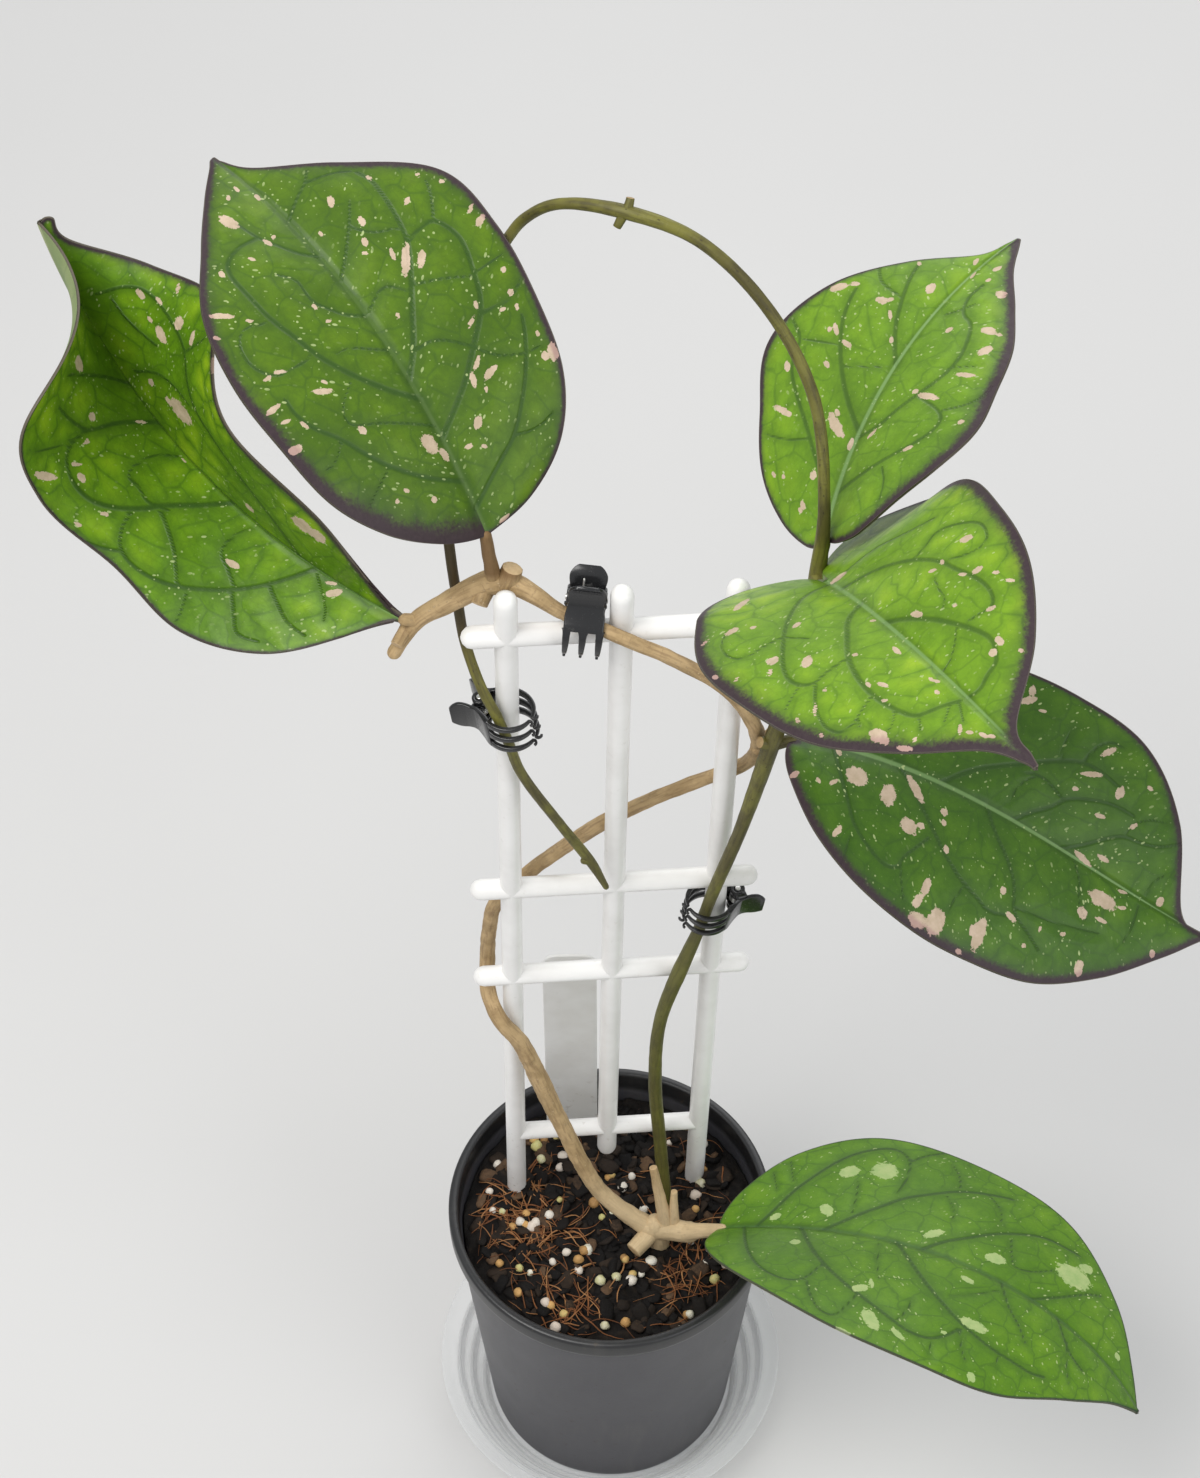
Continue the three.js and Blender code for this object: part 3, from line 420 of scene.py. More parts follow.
# The veins of each leaf: a width, then along and across of each point in turn, in millimetres
leafVeins = {
    "leaf_top_left": (
        (1.3, 6, 0, 10.5, -6, 13.5, -10.5, 16, -14.5, 20.5, -18.5, 26, -23, 32.5, -27, 36, -28.5),
        (1.4, 22.5, 0, 27, -6, 30.5, -10.5, 35.5, -15.5, 40, -20.5, 43.5, -23, 48, -24.5, 53.5, -26.5, 57,
         -26.5, 61.5, -24.5, 61.5, -21, 60.5, -17.5),
        (1.4, 36.5, 0, 41.5, -4.5, 48, -8.5, 54.5, -13, 60.5, -17, 66, -18.5, 71.5, -19.5, 76, -20, 79,
         -19), (0.9, 61.5, 0, 66.5, -5.5, 71, -10, 74.5, -13),
        (0.9, 79, 0, 82.5, -5.5, 84, -9, 86.5, -11.5), (0.7, 84, -9, 82.5, -15, 80, -18.5),
        (0.8, 53, -1, 55.5, -5.5, 55, -8, 52, -10.5), (0.7, 69.5, -9.5, 66, -12, 64, -17),
        (0.7, 52.5, -12, 50.5, -18, 47.5, -24), (0.8, 61.5, -24.5, 65.5, -27.5, 69, -29),
        (0.9, 40.5, -20.5, 40, -24.5, 40, -28.5, 42, -32.5), (0.6, 48, -24.5, 48, -28.5, 48, -32),
        (0.8, 41, -5, 41, -9.5, 37, -14.5, 31.5, -19, 29.5, -24.5), (0.6, 29.5, -24.5, 29, -29),
        (0.8, 16, -14.5, 15, -20, 16.5, -24.5),
        (1.3, 12.5, 0, 17, 8, 23, 14.5, 28.5, 18.5, 33, 21, 37.5, 25, 42, 27, 46, 27),
        (1.5, 32, 0, 35.5, 4.5, 40.5, 9, 44.5, 12, 50.5, 15.5, 56, 17, 61.5, 19, 69, 19.5, 75, 19.5, 78,
         17.5, 79.5, 13, 79, 8.5), (0.9, 52.5, 0, 54.5, 4, 57.5, 6.5, 61, 9, 66.5, 8, 69.5, 11),
        (1.0, 68.5, 0, 71, 3.5, 75, 6, 79, 8.5, 84.5, 9.5),
        (0.7, 25.5, 0, 28.5, 5, 32, 11.5, 34.5, 18.5, 39, 17, 42, 12.5),
        (0.8, 51, 16.5, 50.5, 20, 50.5, 25, 54, 28.5, 59, 29, 63.5, 26, 61.5, 19.5),
        (0.7, 44, 0.5, 46, 4, 48.5, 8, 48.5, 11.5), (0.6, 23, 14.5, 20.5, 19, 18, 22.5),
        (0.6, 33, 21, 29.5, 24.5, 29, 27.5),
    ),
    "leaf_far_left": (
        (1.3, 23, 0, 28.5, 9, 34, 16, 40.5, 22, 45, 25.5, 50.5, 28, 55.5, 28.5, 59, 25, 60, 21),
        (1.5, 47.5, 0, 52.5, 7, 57, 13, 59.5, 18.5, 63.5, 24.5, 67.5, 28.5, 72.5, 30.5, 78, 30, 80, 26, 80,
         19.5), (1.3, 72.5, 0, 76.5, 8, 78.5, 14, 79.5, 20.5, 83.5, 25, 89, 30),
        (1.2, 83, 0, 87.5, 6.5, 91, 14.5, 95, 25.5),
        (1.0, 56, 13.5, 60, 16.5, 63.5, 15.5, 67, 17, 68, 12.5, 67, 6.5, 64, 2.5),
        (1.2, 56.5, 15, 52.5, 16.5, 48.5, 18.5, 43, 23.5),
        (1.0, 34, 15.5, 38, 13, 42, 11.5, 42.5, 6.5, 40.5, 2),
        (1.1, 34, 16.5, 30.5, 20, 27.5, 23.5, 23, 21.5), (1.1, 29, 10, 24.5, 12.5, 20.5, 14.5, 16, 14.5),
        (0.8, 40.5, 23.5, 38.5, 27.5, 38, 30), (0.9, 55.5, 28.5, 58.5, 32, 61, 34),
        (0.8, 80, 26, 81.5, 35.5, 83.5, 41.5), (0.7, 22.5, 1.5, 16, 6.5, 14.5, 9.5),
        (1.3, 27.5, 0, 35.5, -10.5, 44.5, -18, 56.5, -21.5, 65.5, -20.5, 73, -23, 80.5, -26.5, 90, -23.5,
         101, -18.5, 104.5, -13, 105, -5.5), (0.8, 87, -16, 90.5, -13.5, 96.5, -10, 102.5, -8.5),
        (1.0, 80.5, -26.5, 79.5, -35, 79.5, -38), (0.9, 85, -5, 82, -11.5, 76.5, -16, 68, -19),
    ),
    "leaf_top_right": (
        (1.3, 25, 0, 31, 5.5, 38, 11, 44, 15, 49.5, 18, 54, 19.5, 57, 20),
        (1.2, 43, 0, 49, 4, 53.5, 6.5, 59.5, 9, 64.5, 11, 68.5, 12),
        (1.1, 11.5, 3.5, 18, 8.5, 25.5, 14, 32, 20, 37.5, 24.5, 43, 24.5, 46.5, 29.5),
        (0.7, 44, 15, 43.5, 19.5, 43, 24.5), (0.6, 39.5, 11.5, 40.5, 6.5, 42, 1.5),
        (0.9, 63.5, 19, 60.5, 16, 59.5, 12, 59, 9), (0.7, 22.5, 12, 22, 18, 23, 24),
        (1.3, 23.5, 0, 26.5, -5, 31, -7.5, 35.5, -10.5, 40, -13, 45, -14.5, 51, -14, 58.5, -11, 60, -7, 65,
         -4.5, 70, -5),
        (1.3, 10, 0, 13.5, -5.5, 16.5, -9.5, 19.5, -14, 23, -18, 27, -20.5, 31.5, -19.5, 35.5, -10.5),
        (0.9, 32, -19, 34.5, -23.5, 38.5, -26, 42, -26), (0.6, 44.5, -13.5, 46.5, -19),
        (0.8, 59, -3, 61, -5.5, 64, -7.5), (0.6, 15.5, -11.5, 11.5, -14, 7, -14.5),
    ),
    "leaf_front_right": (
        (1.3, 4, 0, 8, -7, 14, -11.5, 21.5, -16, 29, -19.5, 34.5, -22, 39.5, -23, 43, -21.5, 44.5, -19.5,
         43.5, -16.5, 43, -11.5),
        (1.5, 25, 0, 29.5, -5, 36.5, -8, 43, -11, 49.5, -12.5, 55.5, -13, 61, -12.5, 65, -11.5, 69, -10,
         70, -7.5, 71, -4.5, 72.5, -1.5), (0.8, 42.5, -22, 44, -24.5, 46, -27.5),
        (0.9, 45, -19.5, 49, -22, 53, -23.5, 57, -24, 60.5, -22.5, 60.5, -19.5, 59.5, -17.5, 57.5, -13.5),
        (0.6, 60, -18, 62.5, -19), (0.6, 64.5, -12, 67, -14, 67.5, -15.5), (0.6, 70, -9.5, 72.5, -11),
        (0.8, 24, -17.5, 24, -22, 25, -26.5, 21, -29, 15.5, -28.5, 12, -26), (0.6, 25, -17, 30, -13.5),
        (0.6, 72, -3.5, 74.5, -6.5), (0.6, 73, -2, 77.5, -4),
        (1.0, 5, 0, 6, 5, 8.5, 11.5, 16.5, 16.5, 23.5, 23),
        (1.3, 11.5, 0, 17.5, 6, 23.5, 10, 30.5, 13.5, 39, 16.5, 45, 17, 50, 18, 55.5, 18.5, 59.5, 17.5, 61,
         15.5),
        (1.4, 38, 0, 42.5, 3, 50, 6.5, 57, 9, 62, 10.5, 66.5, 11.5, 70, 10, 72, 8.5, 72.5, 5.5, 74, 3, 73,
         0),
        (0.9, 30.5, 13.5, 30.5, 17, 29, 21, 35, 25.5, 40, 27.5, 44.5, 26.5, 46.5, 24.5, 45, 21, 41, 17.5),
        (0.6, 42, 13, 47, 11.5, 49, 11.5, 51, 9), (0.6, 57, 9, 60.5, 6, 63, 2.5, 63, 0.5),
        (0.7, 59, 11, 60, 14, 61, 15.5),
    ),
    "leaf_low_right": (
        (1.2, 8.5, 0, 11.5, -8.5, 14, -14, 16.5, -19.5, 20.5, -23, 25.5, -26, 29.5, -25.5, 30, -22.5, 32,
         -19.5, 35, -15),
        (1.4, 24, 0, 28.5, -4.5, 32, -9, 35.5, -12.5, 39.5, -16.5, 46, -20.5, 51.5, -22, 55.5, -23.5, 60.5,
         -21.5),
        (1.3, 46.5, 0, 50, -5, 54, -8.5, 58, -12.5, 60, -16, 61.5, -20.5, 67.5, -22.5, 71.5, -24.5),
        (0.8, 30, -24, 31.5, -28, 33.5, -31.5), (0.8, 47.5, -20.5, 46, -25, 45.5, -29),
        (0.8, 71.5, -1, 74.5, -4.5, 76, -9.5, 79.5, -12), (0.7, 90.5, -2, 91, -7, 90.5, -11.5),
        (0.7, 16.5, -22.5, 16, -27, 16, -29.5), (0.6, 61.5, -19, 69.5, -17.5, 77, -15.5, 84, -13),
        (1.4, 34.5, 0, 40.5, 6.5, 46.5, 10.5, 52, 14, 58, 18, 63, 20.5, 68, 20.5, 72.5, 19.5),
        (1.3, 53.5, 0, 57, 4, 61, 7.5, 63, 11, 69, 14, 74, 15.5, 79, 15.5),
        (1.3, 67, 0, 71.5, 3.5, 75.5, 7.5, 79, 10.5, 83.5, 11, 88, 12.5, 91.5, 15.5),
        (0.9, 58, 18.5, 57.5, 22.5, 58, 26.5), (0.9, 62, 10.5, 57.5, 12.5, 54, 12.5, 52, 11.5),
        (0.9, 63, 20.5, 64, 25, 66.5, 28, 69.5, 28), (0.7, 79, 10.5, 79.5, 13.5, 82, 16.5, 86, 18),
        (0.7, 91, 1.5, 91, 5.5, 92.5, 7.5), (0.7, 54.5, 12, 52, 9, 51, 3),
    ),
    "leaf_base_right": (
        (1.3, 10, 0, 13.5, 6.5, 16.5, 14, 20, 20, 24, 27, 28.5, 33, 35.5, 38, 40, 38.5, 44, 35, 45, 27,
         44.5, 20),
        (1.5, 29.5, 0, 34, 4.5, 38, 9, 42.5, 13.5, 46.5, 18.5, 52.5, 23, 59, 28.5, 66, 32, 73, 34.5),
        (1.4, 57, 0, 61.5, 6, 66.5, 10.5, 72, 16.5, 78, 21.5, 84.5, 26, 90, 27, 95, 28),
        (0.8, 77, 18, 79, 11.5, 81, 7.5, 86, 10, 90.5, 15.5),
        (1.1, 88.5, 0, 93, 5, 97, 10, 101.5, 16.5, 105, 20), (0.9, 59.5, 28.5, 57.5, 35.5, 54.5, 39),
        (0.9, 44, 35, 47, 39.5, 51, 43), (0.7, 33, 21.5, 34.5, 14.5, 35, 8),
        (0.6, 56.5, 25, 60.5, 20, 61, 15), (0.7, 67, 31.5, 71.5, 28, 73, 22, 72, 16.5),
        (0.6, 9, 21.5, 12, 14.5), (0.6, 12.5, 26.5, 15.5, 18.5),
        (1.1, 6.5, 0, 13.5, -17, 19.5, -26.5, 25.5, -30.5, 30, -31, 33.5, -28.5, 35, -22, 35.5, -18.5),
        (1.5, 23, 0, 30.5, -13.5, 37, -21, 44, -26.5, 50.5, -30, 57, -33, 63, -35.5, 69, -35, 73, -30.5,
         75, -26),
        (1.5, 50, 0, 56.5, -8.5, 62.5, -15, 68, -19.5, 74, -23.5, 80, -25.5, 85.5, -26.5, 91.5, -26, 97,
         -25.5, 101, -23), (1.0, 79.5, 0, 84, -8.5, 88.5, -12.5, 92, -17),
        (1.1, 97, 0, 101.5, -6.5, 105, -9.5, 109.5, -10.5),
        (0.9, 34, -29, 37, -35.5, 41, -40, 45, -40, 46.5, -34.5, 47.5, -28.5),
        (0.8, 60, -32.5, 61, -28, 61, -23), (0.8, 75.5, -26, 77.5, -32, 80, -35),
        (0.6, 46, -3, 48, -12, 50.5, -19.5), (0.6, 69.5, -34.5, 71.5, -40.5), (0.6, 86.5, -26, 88.5, -31.5),
        (0.6, 69.5, -15.5, 74.5, -11, 80, -4), (0.7, 102, -6, 105, -14.5, 107.5, -18),
    ),
}
# The larger flecks, as (along, across, half length, half breadth, lean in degrees)
leafFlecks = {
    "leaf_top_left": (
        (77, -10, 1.8, 0.8, 148), (86, 10.5, 2.7, 1.4, -169), (69.5, -12, 1.3, 0.8, 168),
        (65.5, -9.5, 1.2, 0.8, 151), (63.5, -8, 0.8, 0.5, -126), (72.5, -3.5, 0.9, 0.5, 176),
        (60, -12.5, 1.7, 0.6, 157), (57.5, -14, 4.0, 1.0, 140), (56, -17, 2.2, 0.9, 132),
        (56, -32.5, 1.8, 0.8, 114), (59, -32.5, 1.6, 0.5, 118), (71, -28.5, 1.0, 0.5, 146),
        (67, -31.5, 0.8, 0.6, -124), (76.5, -20, 0.9, 0.6, 179), (77, 7.5, 1.5, 0.6, -167),
        (77.5, 5.5, 0.8, 0.5, 118), (88, 1, 1.1, 0.6, 171), (92.5, 3, 1.1, 0.5, 175),
        (91.5, 6, 0.9, 0.5, 140), (75.5, 13, 0.9, 0.5, -147), (76, 20.5, 1.0, 0.7, -179),
        (68, 27, 3.0, 0.7, -125), (64, 23, 1.0, 0.5, -123), (64.5, 31, 1.0, 0.5, -136),
        (51.5, 24.5, 1.9, 0.5, 70), (51.5, 27.5, 1.3, 0.5, 88), (43.5, 19, 2.7, 0.7, 66),
        (45, 17.5, 0.8, 0.5, -139), (45.5, 30.5, 2.3, 0.7, 99), (42, 29.5, 1.5, 0.5, 80),
        (39.5, 26.5, 1.4, 0.5, -155), (36, 31, 1.9, 1.0, 89), (32.5, 16, 1.2, 0.9, -170),
        (23, 3.5, 2.4, 1.8, -165), (19.5, 1.5, 1.9, 0.9, -176), (40, -18, 1.8, 0.5, 117),
        (42.5, -21, 1.1, 0.5, 157), (29.5, -16, 2.5, 0.8, 108), (32.5, -14.5, 1.9, 0.6, 127),
        (30, -12, 1.8, 0.7, 165), (27, -13.5, 0.8, 0.5, 150), (22, -8.5, 1.5, 1.0, 130),
        (18.5, -4.5, 1.2, 0.6, 92), (17, -7.5, 0.8, 0.5, -116), (41, -29, 1.0, 0.7, 105),
        (39, -25.5, 0.9, 0.5, 89), (38, -28.5, 0.8, 0.5, 143), (45.5, -30.5, 0.8, 0.6, 116),
        (27, -30.5, 2.1, 1.2, 159), (27, -28.5, 1.0, 1.0, -178), (49, -5.5, 0.9, 0.5, 136),
        (16, 16.5, 0.8, 0.5, 141), (12.5, 8.5, 0.8, 0.8, 152), (17, 13.5, 0.8, 0.5, -136),
        (1.5, -5, 1.6, 0.5, 104), (59.5, 9, 0.9, 0.6, 170), (55.5, 8.5, 0.8, 0.5, -119),
        (67.5, -22.5, 1.4, 0.6, 121), (31.5, -29.5, 0.8, 0.5, 148),
    ),
    "leaf_far_left": (
        (89, -18.5, 3.0, 1.4, -165), (94, -16.5, 1.3, 0.6, -165), (69.5, -13, 4.9, 2.9, -156),
        (74, -10.5, 1.6, 1.0, -164), (101, -16, 2.1, 0.8, -156), (97.5, -20.5, 1.7, 0.6, -154),
        (98.5, -26.5, 2.0, 0.7, 161), (89, -25.5, 1.9, 1.9, -178), (82.5, -30, 2.5, 1.1, 144),
        (95, 18, 2.7, 2.0, -134), (82, 18, 1.3, 1.2, 134), (78, 22.5, 1.5, 0.6, 88),
        (72, 27.5, 1.4, 1.0, -159), (76.5, 37, 3.8, 0.9, -118), (75, 27.5, 1.8, 0.5, -113),
        (75, 5, 1.7, 0.5, -115), (38, 11.5, 1.8, 0.9, -168), (25.5, -18, 3.1, 3.2, 142),
        (21.5, -17, 2.7, 2.8, 151), (16.5, 3, 2.2, 0.9, 45), (18.5, 1.5, 1.6, 0.5, -156),
        (80.5, -8, 1.1, 1.1, -180), (63, 26.5, 1.1, 0.6, -120), (64.5, 33.5, 1.2, 0.5, -135),
        (62.5, 2, 0.8, 0.5, -167), (43, -5.5, 1.5, 1.5, -154), (68.5, -40.5, 2.7, 0.5, 171),
    ),
    "leaf_top_right": (
        (56, 24, 2.2, 1.1, 127), (58, 21, 1.3, 0.6, -81), (47, 18, 1.9, 0.6, -133),
        (46.5, 19.5, 0.9, 0.5, -138), (56.5, 12.5, 1.6, 1.0, -89), (57.5, 11, 0.8, 0.6, -64),
        (54, 8.5, 1.5, 0.5, -138), (48.5, 4.5, 1.0, 0.5, -147), (64, 5, 1.6, 1.1, -166),
        (69.5, -10.5, 1.4, 1.4, -97), (58, -15.5, 2.1, 1.3, -85), (58, -18.5, 0.8, 0.5, -60),
        (52, -18.5, 2.1, 1.3, 159), (43.5, -18.5, 2.6, 0.8, -80), (35.5, -13.5, 3.0, 1.0, -93),
        (36.5, -9.5, 0.9, 0.7, 140), (26, 6.5, 4.1, 1.2, -132), (29, 7.5, 1.2, 0.6, -137),
        (44.5, 13.5, 1.8, 0.6, -109), (39, 15.5, 1.3, 0.6, -118), (37, 25, 1.3, 0.8, -132),
        (28, 21.5, 3.3, 0.7, -107), (24.5, -4, 2.0, 0.5, 149), (22, 1, 1.8, 0.7, -177),
        (20.5, -16, 1.7, 0.6, 123), (29.5, -25, 0.9, 0.8, -78), (55, -7, 1.2, 0.7, 167),
        (75.5, 2, 1.2, 0.6, -161), (76, -4, 1.3, 0.7, 169), (68.5, 12, 1.0, 0.5, -119),
        (14.5, 8, 1.2, 1.0, -142), (14.5, 16.5, 0.8, 0.5, -132), (15, 19.5, 1.0, 0.5, -125),
        (8, 9, 1.3, 0.8, -143), (7, 9.5, 1.0, 0.5, -127), (72, -0.5, 1.3, 0.5, -169),
        (72, -5, 0.8, 0.6, 164),
    ),
    "leaf_front_right": (
        (5, 2, 2.8, 1.4, -135), (-0.5, -18.5, 4.3, 1.2, -34), (12, -24.5, 2.0, 1.2, -75),
        (14.5, -20.5, 0.8, 0.8, -95), (22, -13.5, 1.4, 0.9, -59), (37, -17.5, 2.1, 1.3, -32),
        (30.5, -22.5, 1.5, 1.4, -59), (33.5, -24.5, 1.5, 0.6, -32), (49.5, -3, 2.1, 0.6, -2),
        (45.5, 5.5, 2.2, 0.8, 18), (35, -1.5, 0.8, 0.6, 36), (43.5, -9.5, 0.8, 0.6, 38),
        (40.5, 23, 1.9, 1.1, -142), (39.5, 14, 1.3, 0.5, -142), (40, 16.5, 1.1, 0.5, -11),
        (50.5, 19.5, 1.4, 0.9, -114), (48, 17, 1.3, 0.5, 28), (55, 21.5, 1.0, 0.5, 32),
        (59, 22, 1.4, 0.5, 29), (61, 15.5, 1.3, 0.6, -124), (68.5, 12, 1.5, 0.8, -1),
        (69.5, 9.5, 1.0, 1.0, -110), (73.5, 13.5, 0.8, 0.5, 21), (56.5, -10, 1.6, 0.6, 20),
        (54, -12, 1.3, 0.5, -3), (63, -2.5, 0.9, 0.5, -3), (64.5, -2, 0.8, 0.5, 20),
        (67, -3.5, 0.9, 0.5, 0), (51, -23, 2.3, 0.5, -34), (50.5, -27, 1.1, 0.5, -15),
        (67, -17.5, 2.4, 1.5, 13), (69, -17, 1.3, 0.7, -34), (73.5, -15.5, 1.9, 0.7, 32),
        (78.5, -5.5, 1.6, 0.5, -38), (83, -3, 1.2, 0.5, 14), (84.5, -2, 0.8, 0.5, 24),
        (53, 11.5, 0.8, 0.5, 30), (25, -33.5, 1.1, 0.7, 22), (29.5, -30.5, 1.1, 0.5, -50),
        (60.5, -12, 0.8, 0.5, 42), (80.5, -4.5, 0.8, 0.5, 31), (73.5, -13, 0.9, 0.5, -55),
        (11.5, -30.5, 1.8, 0.5, -63), (48, -19, 0.8, 0.5, -28), (57.5, -25.5, 0.8, 0.5, -9),
    ),
    "leaf_low_right": (
        (15, -7, 2.8, 2.8, -15), (23, -9, 3.2, 2.0, -88), (29, -4.5, 4.3, 1.2, -49),
        (29.5, -14.5, 2.5, 2.0, -23), (32.5, -13, 1.0, 0.9, -40), (1, -10.5, 1.4, 0.8, -137),
        (10, -10.5, 1.4, 0.6, -132), (10, -1.5, 1.6, 0.7, -67), (13, -22.5, 1.9, 0.8, -116),
        (37, -7, 1.1, 1.0, -64), (37.5, -9.5, 1.0, 0.7, -62), (40, -15.5, 1.2, 0.8, -54),
        (57, -17, 1.2, 0.9, -42), (38, -26, 2.4, 1.2, -92), (37, -30, 2.0, 1.2, -101),
        (38.5, -34, 2.7, 1.9, 8), (43.5, -32, 3.5, 2.7, -89), (55.5, -29, 4.4, 1.7, -84),
        (53.5, -29, 1.6, 0.9, -74), (61.5, -21.5, 1.9, 0.8, -12), (69.5, -20, 1.0, 0.5, -64),
        (75.5, -18, 0.9, 0.6, 29), (67.5, -25.5, 0.8, 0.6, -26), (81.5, -5.5, 4.2, 2.0, 3),
        (78, -11, 1.7, 1.3, -29), (83, -10, 2.0, 0.6, 2), (87, -4.5, 1.1, 0.5, 30), (73, 1, 3.1, 0.8, -12),
        (85.5, -1, 1.4, 0.5, 12), (83, -22.5, 2.0, 1.3, -71), (98.5, -10, 1.2, 0.8, -63),
        (52.5, -35, 1.1, 0.7, -7), (67, 25.5, 2.2, 0.8, -125), (66, 19, 2.7, 0.7, 25),
        (73.5, 18.5, 1.8, 1.1, -82), (64, 14, 0.9, 0.6, 30), (72, 11.5, 1.5, 0.6, 10),
        (80, 13.5, 1.3, 0.6, -120), (47, 30.5, 1.5, 0.8, -80), (47, 28, 2.2, 0.9, -138),
        (50.5, 27, 1.0, 0.5, 17), (95, 2, 1.3, 1.0, -66), (77.5, 3.5, 1.7, 0.7, 2), (79, 23, 0.9, 0.6, 1),
        (6.5, -11, 0.9, 0.5, -64),
    ),
    "leaf_base_right": (
        (29.5, 25, 3.1, 2.5, -135), (38.5, 28, 3.8, 3.8, -12), (14.5, 4, 1.8, 1.3, -134),
        (58, 7.5, 3.4, 1.5, -132), (75.5, 7.5, 3.1, 2.1, 25), (96, 18.5, 5.5, 4.4, 27),
        (98, 25, 2.7, 1.7, 50), (78, -22, 4.3, 2.1, 5), (47.5, -26, 2.6, 1.6, -136),
        (49.5, -22.5, 2.2, 0.7, -66), (61.5, -38, 2.8, 1.0, -30), (53.5, -36.5, 4.2, 2.1, -49),
        (48.5, -44, 2.3, 0.6, -9), (71.5, -6, 2.2, 1.3, -10), (72, -30, 1.0, 0.8, 36),
        (116.5, 6, 1.2, 1.1, -35), (28, 8, 3.1, 1.7, -54), (25, -10.5, 1.7, 1.6, -23),
        (83.5, -39, 2.0, 1.2, -60),
    ),
}


# Distance in the blade from each point to the nearest margin, in millimetres
def marginDistance(points):
    edge = np.vstack([points[:, 0], points[:, -1]])
    flat = points.reshape(-1, 3)
    found = np.empty(len(flat))
    for i in range(0, len(flat), 4000):
        gap = flat[i:i + 4000, None, :] - edge[None, :, :]
        found[i:i + 4000] = np.sqrt((gap ** 2).sum(-1).min(1))
    return found.reshape(points.shape[:2])


# Distance from each point to the nearest vein, over the vein's width, in millimetres
def veinDistance(along, across, veins):
    found = np.full(along.shape, 99.0)
    for wide, *flat in veins:
        line = np.array(flat, float).reshape(-1, 2)
        for _ in range(2):
            early, late = 0.75 * line[:-1] + 0.25 * line[1:], 0.25 * line[:-1] + 0.75 * line[1:]
            inner = np.stack([early, late], 1).reshape(-1, 2)
            line = np.vstack([line[:1], inner, line[-1:]])
        for i, (start, end) in enumerate(zip(line, line[1:])):
            way = end - start
            share = ((along - start[0]) * way[0] + (across - start[1]) * way[1]) / max(way @ way, 1e-9)
            share = np.clip(share, 0, 1)
            far = np.hypot(along - start[0] - share * way[0], across - start[1] - share * way[1])
            found = np.minimum(found, far / (wide * (1.15 - 0.4 * i / len(line))))
    return found


def spread(value, table):
    return np.interp(value, np.linspace(0, 1, len(table)), table)


